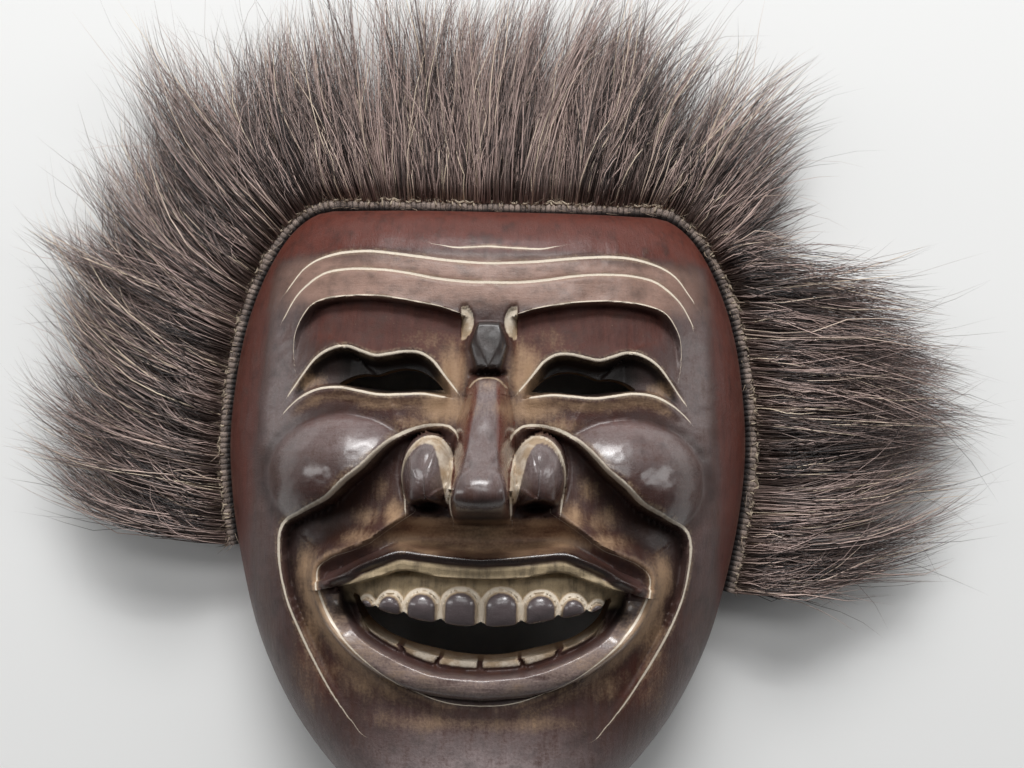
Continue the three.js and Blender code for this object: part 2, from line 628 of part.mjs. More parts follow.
// A closed sheet between a top grid and a bottom grid of the same size
function sheetMesh(name, top, bottom, columns, rows) {
  const points = [...top, ...bottom];
  const number = (k, i, low) => k * rows + i + (low ? top.length : 0);
  const triangles = [];
  const quad = (a, b, c, d) => triangles.push([a, b, c], [a, c, d]);
  for (let k = 0; k + 1 < columns; k += 1) {
    for (let i = 0; i + 1 < rows; i += 1) {
      quad(number(k, i), number(k + 1, i), number(k + 1, i + 1), number(k, i + 1));
      quad(number(k, i, 1), number(k, i + 1, 1), number(k + 1, i + 1, 1), number(k + 1, i, 1));
    }
    quad(number(k, 0), number(k, 0, 1), number(k + 1, 0, 1), number(k + 1, 0));
    const end = rows - 1;
    quad(number(k, end), number(k + 1, end), number(k + 1, end, 1), number(k, end, 1));
  }
  for (let i = 0; i + 1 < rows; i += 1) {
    quad(number(0, i), number(0, i + 1), number(0, i + 1, 1), number(0, i, 1));
    const last = columns - 1;
    quad(number(last, i), number(last, i, 1), number(last, i + 1, 1), number(last, i + 1));
  }
  const geometry = meshOf(points, triangles);
  if (solidOf(geometry).volume() < 0) throw new Error(`${name} is inside out`);
  const mesh = new THREE.Mesh(geometryOf(solidOf(geometry)), paint(0x332926, 0.7));
  mesh.name = name;
  return mesh;
}

// Bunches along the band: name, where each starts and ends, and how many tufts its tips form
const bunches = [
  ['hair_left_cheek', 0, 0.13, 4],
  ['hair_left_temple', 0.13, 0.26, 4],
  ['hair_crown_left', 0.26, 0.4, 4],
  ['hair_crown_middle', 0.4, 0.54, 4],
  ['hair_crown_right', 0.54, 0.685, 4],
  ['hair_right_temple', 0.705, 0.85, 4],
  ['hair_right_cheek', 0.85, 1, 4],
];

const mask = new THREE.Group();
mask.add(woodenMask(), hairBand(), bindingThread(), ...bunches.map((bunch) => hairBunch(...bunch)));

// The origin goes under the middle of the whole box
const box = new THREE.Box3().setFromObject(mask);
const middle = box.getCenter(new THREE.Vector3());
mask.position.set(-middle.x, -middle.y, -box.min.z);

export default mask;
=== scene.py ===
"""A laughing wooden mask with a fringe of hair, lying face up and seen from above its forehead."""

import math

import bpy
import numpy as np
from mathutils import Matrix, Vector


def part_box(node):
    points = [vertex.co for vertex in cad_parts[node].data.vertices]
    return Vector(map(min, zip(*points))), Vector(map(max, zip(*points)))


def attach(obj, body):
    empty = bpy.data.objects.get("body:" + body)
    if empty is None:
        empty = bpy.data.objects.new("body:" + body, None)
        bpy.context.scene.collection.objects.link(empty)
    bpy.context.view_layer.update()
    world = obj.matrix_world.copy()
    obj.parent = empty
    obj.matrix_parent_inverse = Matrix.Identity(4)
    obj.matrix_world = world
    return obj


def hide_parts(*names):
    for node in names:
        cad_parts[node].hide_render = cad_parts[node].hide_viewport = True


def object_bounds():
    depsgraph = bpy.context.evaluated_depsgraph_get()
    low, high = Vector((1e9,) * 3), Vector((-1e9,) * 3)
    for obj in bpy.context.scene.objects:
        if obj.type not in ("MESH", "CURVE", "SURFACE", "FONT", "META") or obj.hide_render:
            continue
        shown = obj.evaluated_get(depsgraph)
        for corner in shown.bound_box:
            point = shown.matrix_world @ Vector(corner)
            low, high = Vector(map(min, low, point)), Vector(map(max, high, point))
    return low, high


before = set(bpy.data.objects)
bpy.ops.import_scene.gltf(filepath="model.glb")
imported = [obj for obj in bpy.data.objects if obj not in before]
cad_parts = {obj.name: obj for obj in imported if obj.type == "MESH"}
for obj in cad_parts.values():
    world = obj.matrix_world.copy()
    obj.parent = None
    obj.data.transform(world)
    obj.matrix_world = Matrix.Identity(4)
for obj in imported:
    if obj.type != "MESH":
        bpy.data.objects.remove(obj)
cad_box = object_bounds()

# The camera looks down on the lying mask from just above its brows, rolled a little and leaning
# towards the chin, as the photograph was taken. The lying mask's width, height and middle come
# from the frame; every other place on it is a share of its half width and half height.
mm = 0.001
mask_low, mask_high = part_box("wooden_mask")
mask_middle = Vector(((mask_low[0] + mask_high[0]) / 2, (mask_low[1] + mask_high[1]) / 2, 0))
half_width = (mask_high[0] - mask_low[0]) / 2 / mm
half_height = (mask_high[1] - mask_low[1]) / 2 / mm

aim = Vector((7.6, 47, 20)) * mm
aim_distance = 335.6 * mm
lean = math.radians(5)
roll = math.radians(1.2)
picture_width = 1024
lens_in_pixels = 995
near_clip = 10 * mm

view_way = Vector((0, math.sin(lean), -math.cos(lean)))
level_up = Vector((0, math.cos(lean), math.sin(lean)))
level_right = Vector((1, 0, 0))
camera_right = level_right * math.cos(roll) + level_up * math.sin(roll)
camera_up = level_up * math.cos(roll) - level_right * math.sin(roll)

camera_data = bpy.data.cameras.new("camera")
camera_data.sensor_width = 36
camera_data.lens = lens_in_pixels * camera_data.sensor_width / picture_width
camera_data.clip_start = near_clip
camera = bpy.data.objects.new("camera", camera_data)
bpy.context.collection.objects.link(camera)
camera.matrix_world = Matrix((camera_right, camera_up, -view_way)).transposed().to_4x4()
camera.location = mask_middle + aim - view_way * aim_distance
bpy.context.scene.camera = camera
bpy.context.scene.view_settings.view_transform = "Standard"

# A pale floor under plain soft light: a broad panel beyond the forehead, which the lacquer shows
# as the bright bars on cheeks and nose, a weaker one over the mask and one on each side.
floor_half = 2.5
floor_colour = (0.84, 0.84, 0.83, 1)
room_colour = (0.9, 0.93, 0.95, 1)
room_strength = 0.1
lights = [  # name, place and size in metres, and power in watts
    ("light_beyond_forehead", (-0.05, 1.75, 1.2), (1.3, 0.9), 37),
    ("light_window", (0.1, 1.5, 1.15), (0.8, 0.1), 7),
    ("light_overhead", (0.0, 0.75, 1.5), (1.6, 0.4), 6),
    ("light_left", (-1.3, 0.2, 0.7), (0.35, 0.9), 4.6),
    ("light_right", (1.35, 0.3, 0.65), (0.35, 0.9), 4.2),
]
for name, place, size, watts in lights:
    panel = bpy.data.lights.new(name, "AREA")
    panel.shape = "RECTANGLE"
    panel.size, panel.size_y = size
    panel.energy = watts
    lamp = bpy.data.objects.new(name, panel)
    bpy.context.collection.objects.link(lamp)
    lamp.location = Vector(place)
    lamp.rotation_euler = (mask_middle - lamp.location).to_track_quat("-Z", "Y").to_euler()

world = bpy.data.worlds.new("pale_room")
world.use_nodes = True
room_light = world.node_tree.nodes["Background"].inputs
room_light["Color"].default_value = room_colour
room_light["Strength"].default_value = room_strength
bpy.context.scene.world = world


def mesh_piece(name, points, faces, attributes=None):
    """A mesh object from an array of points in metres and a list of faces, with its values."""
    mesh = bpy.data.meshes.new(name)
    faces = faces.tolist() if isinstance(faces, np.ndarray) else faces
    mesh.from_pydata(np.asarray(points).tolist(), [], faces)
    store_values(mesh, attributes or {})
    piece = bpy.data.objects.new(name, mesh)
    bpy.context.collection.objects.link(piece)
    return piece


def store_values(mesh, attributes):
    """Keeps one number, or three, for each vertex under the names that the materials read."""
    for key, values in attributes.items():
        kind = "FLOAT" if values.ndim == 1 else "FLOAT_VECTOR"
        field = "value" if values.ndim == 1 else "vector"
        held = mesh.attributes.new(key, kind, "POINT")
        held.data.foreach_set(field, np.ascontiguousarray(values, dtype=np.float32).ravel())


class Socket:
    """One output in a material, so that sums on values are written as sums."""

    def __init__(self, tree, socket):
        self.tree, self.socket = tree, socket

    def math(self, operation, *others, clamp=False):
        """This value and the others in one Math node."""
        node = self.tree.nodes.new("ShaderNodeMath")
        node.operation, node.use_clamp = operation, clamp
        for slot, value in zip(node.inputs, (self, *others)):
            plug(self.tree, slot, value)
        return Socket(self.tree, node.outputs[0])

    def __add__(self, other):
        return self.math("ADD", other)

    def __sub__(self, other):
        return self.math("SUBTRACT", other)

    def __mul__(self, other):
        return self.math("MULTIPLY", other)

    def __truediv__(self, other):
        return self.math("DIVIDE", other)

    def __rsub__(self, other):
        return (self * -1) + other

    __radd__, __rmul__ = __add__, __mul__

    def ease(self, low, high):
        """0 up to low, 1 from high on, smooth between; low may be above high."""
        span = ((self - low) / (high - low)).math("MULTIPLY", 1, clamp=True)
        return span * span * (3 - 2 * span)


def plug(tree, slot, value):
    """Puts a value on a socket, or links it."""
    if isinstance(value, Socket):
        tree.links.new(value.socket, slot)
    else:
        slot.default_value = value


class Finish:
    """A material under construction: its nodes, and the shader that they feed."""

    def __init__(self, name):
        self.material = bpy.data.materials.new(name)
        self.material.use_nodes = True
        self.tree = self.material.node_tree
        self.shader = self.tree.nodes["Principled BSDF"]

    def node(self, kind, settings=None, output=0, **values):
        """Any node: its type, its settings, and the values or links of its inputs by name."""
        made = self.tree.nodes.new(kind)
        for key, value in (settings or {}).items():
            setattr(made, key, value)
        for key, value in values.items():
            plug(self.tree, made.inputs[key.replace("_", " ")], value)
        return Socket(self.tree, made.outputs[output])

    def value(self, name):
        """The number stored under a name."""
        return self.node("ShaderNodeAttribute", {"attribute_name": name}, output=2)

    def parts(self, name):
        """The three numbers of a stored vector."""
        vector = self.node("ShaderNodeAttribute", {"attribute_name": name}, output=1)
        split = self.tree.nodes.new("ShaderNodeSeparateXYZ")
        plug(self.tree, split.inputs[0], vector)
        return [Socket(self.tree, out) for out in split.outputs]

    def place(self, stretch=(1, 1, 1)):
        """Object coordinates in millimetres, drawn out or squeezed along each axis."""
        at = self.node("ShaderNodeTexCoord", output=3)
        return self.node("ShaderNodeMapping", Vector=at, Scale=tuple(s / mm for s in stretch))

    def noise(self, scale, detail=3.0, roughness=0.55, stretch=(1, 1, 1)):
        """Clouds with a grain of 1 / scale millimetres, from 0 to 1."""
        return self.node("ShaderNodeTexNoise", Vector=self.place(stretch), Scale=scale,
                         Detail=detail, Roughness=roughness)

    def mix(self, share, low, high):
        """From colour low to colour high as share goes from 0 to 1."""
        made = self.tree.nodes.new("ShaderNodeMix")
        made.data_type = "RGBA"
        for slot, value in ((0, share), (6, low), (7, high)):
            plug(self.tree, made.inputs[slot], (*value, 1) if isinstance(value, tuple) else value)
        return Socket(self.tree, made.outputs[2])

    def bump(self, height, distance, strength):
        """The fine relief: a height from 0 to 1 that stands for a distance in metres."""
        return self.node("ShaderNodeBump", Height=height, Distance=distance, Strength=strength)

    def wear(self, piece, **values):
        """Sets the shader's inputs, by name, and puts the material on a piece."""
        for key, value in values.items():
            value = (*value, 1) if isinstance(value, tuple) and len(value) == 3 else value
            plug(self.tree, self.shader.inputs[key.replace("_", " ")], value)
        piece.data.materials.clear()
        piece.data.materials.append(self.material)


corners = [(floor_half * x, floor_half * y, 0) for x, y in ((-1, -1), (1, -1), (1, 1), (-1, 1))]
floor = mesh_piece("floor", corners, [(0, 1, 2, 3)])
Finish("pale_floor").wear(floor, Base_Color=floor_colour, Roughness=0.9)

# The mask: one block of light hardwood, carved, hollowed from behind, stained and lacquered almost
# black, then rubbed so that the edges of the carving show through golden and cream. The carving is
# a height over the flat back, made of one function for each feature. Its sizes are in millimetres.
face_depth = 57.0
side_height = 20.0
rim_width = 9.0
face_thickness = 14.0
inner_side_height = 6.0
arch_fullness = 3.1
arch_shoulder = 0.62
# How far the features stand up or go in, in millimetres
socket_depth = 4.8
brow_lip = 0.6
lid_swell = 1.5
boss_step = 2.4
brow_cut_depth = 1.6
# The same for the bigger ones, as shares of the face's depth
cheek_rise = 0.17
wing_rise = 0.27
nostril_depth = 0.07
lip_rise = 0.13
low_lip_rise = 0.11
tooth_rise = 0.075
chin_rise = 0.05


def bell(t):
    """A smooth hump: 1 at 0, and near 0 beyond 2."""
    return np.exp(-np.square(t))


def ease(low, high, t):
    """0 up to low, 1 from high on, smooth between; low may be above high."""
    s = np.clip((t - low) / (high - low), 0, 1)
    return s * s * (3 - 2 * s)


def round_top(t):
    """The height of a circle of radius 1 over a point at t, and 0 outside it."""
    return np.sqrt(np.clip(1 - np.square(t), 0, None))


def through(points, count):
    """Evenly spaced points on the smooth curve through the given ones: a Catmull-Rom curve whose
    knots lie the square root of a chord apart, worked out as weighted means of means of means."""
    p = np.asarray(points, float)
    p = np.vstack([2 * p[0] - p[1], p, 2 * p[-1] - p[-2]])
    knots = np.concatenate([[0], np.cumsum(np.linalg.norm(np.diff(p, axis=0), axis=1) ** 0.5)])
    fine = np.linspace(knots[1], knots[-2], 12 * len(points))
    k = np.clip(np.searchsorted(knots, fine, "right") - 1, 1, len(p) - 3)
    knot = [knots[k + j][:, None] for j in (-1, 0, 1, 2)]
    mean = [p[k + j] for j in (-1, 0, 1, 2)]
    t = fine[:, None]
    for spans in ([(0, 1), (1, 2), (2, 3)], [(0, 2), (1, 3)], [(1, 2)]):
        mean = [((knot[b] - t) * mean[i] + (t - knot[a]) * mean[i + 1]) / (knot[b] - knot[a])
                for i, (a, b) in enumerate(spans)]
    curve = mean[0]
    run = np.concatenate([[0], np.cumsum(np.linalg.norm(np.diff(curve, axis=0), axis=1))])
    even = np.linspace(0, run[-1], count)
    return np.stack([np.interp(even, run, curve[:, axis]) for axis in range(curve.shape[1])], axis=1)


def along(table, key):
    """Straight interpolation in a table of (key, value) pairs whose keys rise."""
    pairs = np.asarray(table, float)
    return np.interp(key, pairs[:, 0], pairs[:, 1])


class CarvedLine:
    """A line on the right half of the face, through points at shares of half width and height."""

    def __init__(self, points, count=70):
        self.given = points
        self.points = through(points, count) * (half_width, half_height)

    def near(self, x, y):
        """The distance to the line, positive on the right of its run, and the share of its run."""
        nearest = np.full(x.shape, np.inf)
        side = np.ones(x.shape)
        share = np.zeros(x.shape)
        last = len(self.points) - 1
        for k in range(last):
            (ax, ay), (bx, by) = self.points[k], self.points[k + 1]
            ex, ey, px, py = bx - ax, by - ay, x - ax, y - ay
            s = np.clip((px * ex + py * ey) / (ex * ex + ey * ey), 0, 1)
            gap = np.hypot(px - s * ex, py - s * ey)
            closer = gap < nearest
            nearest = np.where(closer, gap, nearest)
            side = np.where(closer, np.where(px * ey - py * ex < 0, -1, 1), side)
            share = np.where(closer, (k + s) / last, share)
        return nearest * side, share


outline = through([
    (-1, 0.03), (-0.985, 0.11), (-0.955, 0.2), (-0.9, 0.32), (-0.82, 0.445), (-0.69, 0.605),
    (-0.55, 0.733), (-0.36, 0.85), (-0.17, 0.921), (0.05, 0.977), (0.24, 1), (0.4, 0.993),
    (0.59, 0.962), (0.74, 0.91), (0.85, 0.85), (0.92, 0.795), (0.965, 0.74), (0.99, 0.69),
    (1, 0.64)], 300)
profile = through([
    (-1, 0.36), (-0.97, 0.55), (-0.92, 0.7), (-0.82, 0.86), (-0.65, 0.95), (-0.4, 0.99),
    (0, 1.01), (0.3, 0.98), (0.5, 0.95), (0.7, 0.9), (0.85, 0.81), (0.92, 0.72), (0.96, 0.63),
    (0.985, 0.52), (1, 0.38)], 300)

brow_edge = CarvedLine([
    (0.1, 0.62), (0.17, 0.638), (0.26, 0.652), (0.385, 0.667), (0.5, 0.67), (0.59, 0.664),
    (0.645, 0.647), (0.68, 0.61), (0.7, 0.565), (0.7, 0.5), (0.685, 0.44)])
upper_lid = CarvedLine([
    (0.11, 0.4), (0.155, 0.443), (0.2, 0.486), (0.245, 0.506), (0.3, 0.507), (0.355, 0.498),
    (0.4, 0.493), (0.45, 0.506), (0.505, 0.521), (0.565, 0.512), (0.615, 0.486), (0.66, 0.44),
    (0.715, 0.377)])
lower_lid = CarvedLine([
    (0.15, 0.38), (0.225, 0.387), (0.3, 0.383), (0.38, 0.379), (0.45, 0.388), (0.52, 0.398),
    (0.6, 0.393), (0.66, 0.371), (0.705, 0.345), (0.73, 0.324)])
smile_fold = CarvedLine([
    (0.1, 0.265), (0.125, 0.288), (0.178, 0.292), (0.255, 0.276), (0.318, 0.246), (0.363, 0.21),
    (0.413, 0.165), (0.473, 0.124), (0.535, 0.076), (0.6, 0.048), (0.657, 0.024), (0.706, 0.004),
    (0.723, -0.024), (0.724, -0.072), (0.71, -0.143), (0.684, -0.21), (0.637, -0.289),
    (0.567, -0.39), (0.488, -0.49), (0.393, -0.581)])
mouth_ridge = CarvedLine([
    (0.25, 0.06), (0.33, 0.014), (0.407, -0.033), (0.477, -0.057), (0.547, -0.081),
    (0.587, -0.11), (0.593, -0.138), (0.581, -0.181), (0.54, -0.248), (0.477, -0.31),
    (0.39, -0.376), (0.29, -0.433), (0.169, -0.478), (0.08, -0.494), (0, -0.497)])
upper_lip = CarvedLine([
    (0, -0.065), (0.105, -0.06), (0.21, -0.052), (0.285, -0.05), (0.349, -0.07), (0.413, -0.094),
    (0.477, -0.124), (0.535, -0.143)])
lip_underside = CarvedLine([
    (0, -0.127), (0.14, -0.124), (0.267, -0.11), (0.337, -0.126), (0.419, -0.15), (0.5, -0.165)])
lower_lip = CarvedLine([
    (0.529, -0.2), (0.5, -0.243), (0.43, -0.3), (0.357, -0.342), (0.244, -0.388), (0.134, -0.411),
    (0, -0.42)])
lower_lip_inside = CarvedLine([
    (0.5, -0.19), (0.478, -0.235), (0.407, -0.3), (0.285, -0.357), (0.17, -0.39), (0.06, -0.401),
    (0, -0.403)])
wing_outline = CarvedLine([
    (0.102, 0.05), (0.1, 0.14), (0.113, 0.22), (0.155, 0.262), (0.205, 0.262), (0.25, 0.23),
    (0.278, 0.175), (0.281, 0.12), (0.27, 0.055)])
forehead_lines = [
    CarvedLine([
        (0, 0.781), (0.099, 0.785), (0.198, 0.791), (0.343, 0.807), (0.453, 0.816), (0.558, 0.813),
        (0.64, 0.797), (0.698, 0.767), (0.74, 0.722), (0.768, 0.69)]),
    CarvedLine([
        (0, 0.72), (0.105, 0.722), (0.198, 0.73), (0.302, 0.745), (0.413, 0.756), (0.523, 0.759),
        (0.605, 0.75), (0.663, 0.722), (0.715, 0.681), (0.762, 0.61)]),
]
short_forehead_line = CarvedLine([
    (-0.214, 0.843), (-0.131, 0.831), (-0.019, 0.838), (0.107, 0.831), (0.185, 0.831),
    (0.26, 0.844)])

# The teeth: four on each side above, a little smaller each time, and blocks below
tooth_middle = (0.069, 0.2, 0.31, 0.392)
tooth_half = (0.063, 0.058, 0.046, 0.034)
tooth_top = (-0.157, -0.165, -0.175, -0.19)
tooth_foot = [(0, -0.257), (0.14, -0.25), (0.27, -0.232), (0.38, -0.212), (0.45, -0.19)]
lower_tooth_pitch = 0.137


def dome(across, v, depth, side):
    """The uncarved face: each section is a flattened arch from side wall to side wall."""
    crown = face_depth * along(profile, v) - (face_depth - depth)
    arch = np.clip(1 - np.abs(across) ** arch_fullness, 0, None) ** arch_shoulder
    return side + np.clip(crown - side, 0, None) * arch


def eye_sockets(x, y):
    """A step down at the edge of the brow, then out again towards the lid; the edge stands proud."""
    d, t = brow_edge.near(x, y)
    reach = ease(0.07, 0.11, x / half_width) * (1 - ease(0.72, 1, t))
    under = ease(-0.2, 0.9, d) * np.exp(-np.clip(d, 0, None) / 16)
    lip = brow_lip * np.exp(-np.abs(d) / 1.8)
    return reach * (lip - socket_depth * under)


funnel_depths = [(0.12, 6), (0.2, 7.5), (0.5, 7.5), (0.58, 5), (0.7, 1)]


def eye_lids(x, y):
    """A narrow swelling on each lid, and a funnel from the scored lines down to the pierced slit."""
    upper, run = upper_lid.near(x, y)
    lower, _ = lower_lid.near(x, y)
    u = x / half_width
    ends = ease(0.12, 0.16, u) * (1 - ease(0.66, 0.72, u))
    funnel = ease(0.1, 3.2, upper) * ease(0.2, 1.6, -lower) * along(funnel_depths, u)
    swell = bell(np.clip(-upper, 0, None) / 3.2) * ease(1.6, 0.1, upper) * (1 - ease(0.8, 1, run))
    return ends * (lid_swell * swell + 1.2 * bell(lower / 2.6) - funnel)


boss_half = [(0.44, 0.044), (0.53, 0.074), (0.6, 0.042)]


def brow_boss(x, y):
    """A six-sided boss between the brows, faceted to a blunt middle edge over a dark undercut."""
    v = y / half_height
    half = along(boss_half, v) * half_width
    inside = np.minimum(half - x, np.minimum(0.6 - v, v - 0.455) * half_height)
    facets = np.minimum(1 - x / half, 0.9 * (0.6 - v) / 0.12)
    undercut = bell((v - 0.447) / 0.009) * ease(0.075, 0.05, x / half_width)
    return ease(-0.1, 0.9, inside) * (boss_step + boss_step * np.clip(facets, 0, 1)) - 2.2 * undercut


def brow_cuts(x, y):
    """Where the gouge left a pale crescent beside the boss: 1 inside it."""
    v = (y / half_height - 0.6) / 0.052
    outer = 0.1 * half_width
    inner = (0.1 - 0.045 * round_top(v)) * half_width
    return ease(-0.3, 0.3, x - inner) * ease(-0.3, 0.3, outer - x) * ease(1.02, 0.9, np.abs(v))


nose_heights = through([
    (0.02, 0), (0.037, 0.13), (0.055, 0.36), (0.08, 0.49), (0.107, 0.535), (0.138, 0.53),
    (0.18, 0.47), (0.26, 0.34), (0.36, 0.2), (0.42, 0.1), (0.45, 0.0)], 120)
nose_top_half = through([
    (0.012, 0.045), (0.048, 0.066), (0.096, 0.078), (0.147, 0.064), (0.2, 0.048), (0.262, 0.038),
    (0.32, 0.032), (0.38, 0.026), (0.45, 0.024)], 80)
nose_foot_half = through([
    (0.012, 0.08), (0.044, 0.108), (0.08, 0.121), (0.11, 0.122), (0.155, 0.112), (0.22, 0.106),
    (0.3, 0.1), (0.38, 0.078), (0.45, 0.066)], 80)


def nose(x, y):
    """A flat-topped ridge that widens to a round tip, over a steep underside."""
    v = y / half_height
    top = along(nose_top_half, v) * half_width
    foot = along(nose_foot_half, v) * half_width
    wall = np.sin(math.pi / 2 * np.clip((foot - x) / (foot - top), 0, 1)) ** 0.85
    crest = 1 - (0.035 + 0.05 * bell((v - 0.06) / 0.06)) * np.square(np.clip(x / top, 0, 1.2))
    bridge = bell((np.hypot(x / half_width / 0.07, (v - 0.385) / 0.05) - 1) / 0.2) * (v > 0.385)
    return along(nose_heights, v) * wall * crest * face_depth + 0.5 * bridge


def wing_reach(u, v):
    """How far a place is from the middle of the nostril's wing: 1 on its edge."""
    return np.hypot((u - 0.192 - 0.03 * (v - 0.17)) / 0.098, (v - 0.158) / 0.121)


def nostril_wings(x, y):
    """A round swelling beside the nose, cut off steeply over the nostril."""
    u, v = x / half_width, y / half_height
    reach = wing_reach(u, v)
    swell = round_top(reach) ** 0.85
    cut = ease(0.064, 0.082, v - 0.014 * bell((u - 0.19) / 0.045))
    nostril = bell((u - 0.18) / 0.045) * bell((v - 0.068) / 0.014)
    moat = bell((reach - 1.05) / 0.07) * (v > 0.04)
    return (wing_rise * swell * cut - nostril_depth * nostril - 0.014 * moat) * face_depth


def cheek_reach(u, v):
    """How far a place is from the middle of the cheek's ball: 1 on its edge."""
    return np.hypot((u - 0.5) / 0.285, (v - 0.14) / 0.178)


def cheeks(x, y):
    """A ball under each eye, cut off by the smile fold, with a soft valley outside it."""
    u, v = x / half_width, y / half_height
    fold, _ = smile_fold.near(x, y)
    above = 1 - ease(-1.0, 0.4, fold)
    ball = np.clip(1 - cheek_reach(u, v) ** 2, 0, None) ** 0.95 * above
    return cheek_rise * ball * face_depth


fold_depths = [(0, 0.02), (0.08, 0.06), (0.2, 0.1), (0.4, 0.12), (0.5, 0.11), (0.6, 0.08),
               (0.8, 0.04), (1, 0)]


def smile_trough(x, y):
    """Deep just inside the smile fold, and out again towards the ridge round the mouth."""
    fold, t = smile_fold.near(x, y)
    ridge, _ = mouth_ridge.near(x, y)
    to_ridge = np.abs(ridge) / (np.abs(ridge) + np.clip(fold, 0, None) + 1e-6)
    depth = along(fold_depths, t) * ease(0, 1.3, fold) * to_ridge ** 0.7
    return -depth * face_depth * (ridge < 0)


def mouth_surround(x, y):
    """The ridge round the mouth, and the dark hollow between nose and upper lip."""
    ridge, t = mouth_ridge.near(x, y)
    height = along([(0, 0.03), (0.15, 0.07), (0.45, 0.05), (1, 0.02)], t)
    u, v = x / half_width, y / half_height
    hollow = bell((u - 0.2) / 0.2) * bell((v + 0.02) / 0.035) * ease(0, 2, ridge)
    return (bell(ridge / 3) * height - 0.08 * hollow) * face_depth


def lips(x, y):
    """A hard upper lip with a bead on its edge over a smooth band, and a rounded lower lip."""
    upper, _ = upper_lip.near(x, y)
    under, _ = lip_underside.near(x, y)
    inside, _ = lower_lip_inside.near(x, y)
    lower, t = lower_lip.near(x, y)
    in_mouth = ease(0.62, 0.52, x / half_width) * (y > -0.2 * half_height)
    band = ease(-1.2, 0.5, upper) * (1 - 0.25 * ease(0, 8, upper)) * (1 - ease(-0.3, 0.7, under))
    bead = 0.9 * bell((upper - 0.9) / 1.2) - 0.7 * bell((upper - 3.1) / 0.6)
    roll = round_top(lower / 5.2) * along([(0, 0.2), (0.2, 0.9), (1, 1)], t)
    roll = roll * ease(1.0, -0.2, inside)
    corner = bell((x / half_width - 0.46) / 0.05) * bell((y / half_height + 0.225) / 0.045)
    raised = (lip_rise * band * face_depth + bead) * in_mouth
    return raised + low_lip_rise * roll * face_depth - 4.5 * corner


def upper_teeth(x, y):
    """Height of the upper teeth and gum, how far a place is inside a tooth, and each tooth's rim."""
    u, v = x / half_width, y / half_height
    rise, face, rim = np.zeros(x.shape), np.zeros(x.shape), np.zeros(x.shape)
    foot = along(tooth_foot, u)
    rounding = round_top(1 - np.clip((v - foot) * half_height / 5 + 0.1, 0, 1))
    for middle, half, top in zip(tooth_middle, tooth_half, tooth_top):
        side = (u - middle) / half
        above = np.clip(v - top + 0.045, 0, None) / 0.045
        reach = np.hypot(side, above)
        body = ease(0.92, 0.78, reach)
        bulge = np.clip(1 - np.square(reach / 1.05), 0, None) ** 0.5
        rise = np.maximum(rise, body * (0.035 + tooth_rise * bulge * (0.35 + 0.65 * rounding)))
        ring = bell((reach - 1.0) / 0.18)
        rise = np.maximum(rise, 0.035 * ring)
        rim = np.maximum(rim, ring)
        face = np.maximum(face, body)
    gum = ease(-0.115, -0.135, v) * ease(0.5, 0.42, u)
    limit = ease(-0.04, -0.015, v - foot)
    teeth_only = limit * ease(-0.142, -0.15, v)
    return (rise + 0.02 * gum) * limit * face_depth, face * teeth_only, rim * teeth_only


def lower_teeth(x, y):
    """Flat blocks between the pierced mouth and the lower lip; and where they lie: 1 on a tooth."""
    inside, _ = lower_lip_inside.near(x, y)
    shelf = ease(-0.2, 0.5, inside) * ease(8, 4, inside) * ease(-0.17, -0.19, y / half_height)
    sway = 0.08 * np.sin(y) * np.clip(x / 4, 0, 1)
    place = np.abs((x / half_width / lower_tooth_pitch + sway) % 1 - 0.5) * 2
    joint = ease(0.84, 0.95, place) * ease(0.6, 2.2, inside)
    crown = ease(1.2, 2.6, inside)
    return shelf * (-1.6 + 0.7 * crown - 1.5 * joint), shelf * (1 - joint) * crown


def chin(x, y):
    """The chin's low boss."""
    boss = bell(x / half_width / 0.4) * bell((y / half_height + 0.72) / 0.14)
    return chin_rise * face_depth * boss


# Half the width of each scored line, in millimetres, along its run; they lie three to a channel
scored_lines = [
    (forehead_lines[0], [(0, 0.34), (0.3, 0.42), (0.7, 0.4), (1, 0.12)]),
    (forehead_lines[1], [(0, 0.42), (0.4, 0.36), (0.8, 0.34), (1, 0.12)]),
    (short_forehead_line, [(0, 0.1), (0.2, 0.3), (0.8, 0.3), (1, 0.08)]),
    (upper_lid, [(0, 0.2), (0.15, 0.42), (0.7, 0.45), (1, 0.16)]),
    (lower_lid, [(0, 0.25), (0.2, 0.32), (0.8, 0.34), (1, 0.1)]),
    (mouth_ridge, [(0, 0.04), (0.3, 0.06), (0.4, 0.3), (0.5, 0.3), (0.7, 0.12), (1, 0.1)]),
    (smile_fold, [(0, 0.4), (0.12, 0.6), (0.3, 0.76), (0.45, 0.66), (0.6, 0.42), (0.8, 0.45),
                  (1, 0.12)]),
    (wing_outline, [(0, 0.3), (0.35, 0.35), (0.5, 0.4), (0.75, 0.3), (0.9, 0.34), (1, 0.2)]),
    # The last is no scored line: a thin painted highlight along the top of the brow's edge
    (brow_edge, [(0, 0.05), (0.15, 0.18), (0.6, 0.2), (0.8, 0.1), (1, 0.04)]),
]
# The wood beside two of the lines is rubbed too, and the painted highlight of the brow's edge lies on
# the brow above it: how far the pale middle lies to the line's right
line_shift = {mouth_ridge: 1.4, smile_fold: -0.8, brow_edge: -0.4}


def scored(x, y, whole_x):
    """For each scored line, the signed distance to it as a share of its half width there. Far from
    the line it grows faster, so that no false line shows where the nearer side changes."""
    shares = []
    for line, widths in scored_lines:
        d, t = line.near(whole_x if line is short_forehead_line else x, y)
        d = d - line_shift.get(line, 0)
        share = d / along(widths, t)
        if line is smile_fold:
            share = np.where(d > 0, d / (0.6 * along(widths, t)), share)
        shares.append(share * (1 + 0.02 * share ** 2))
    return np.stack(shares, -1)


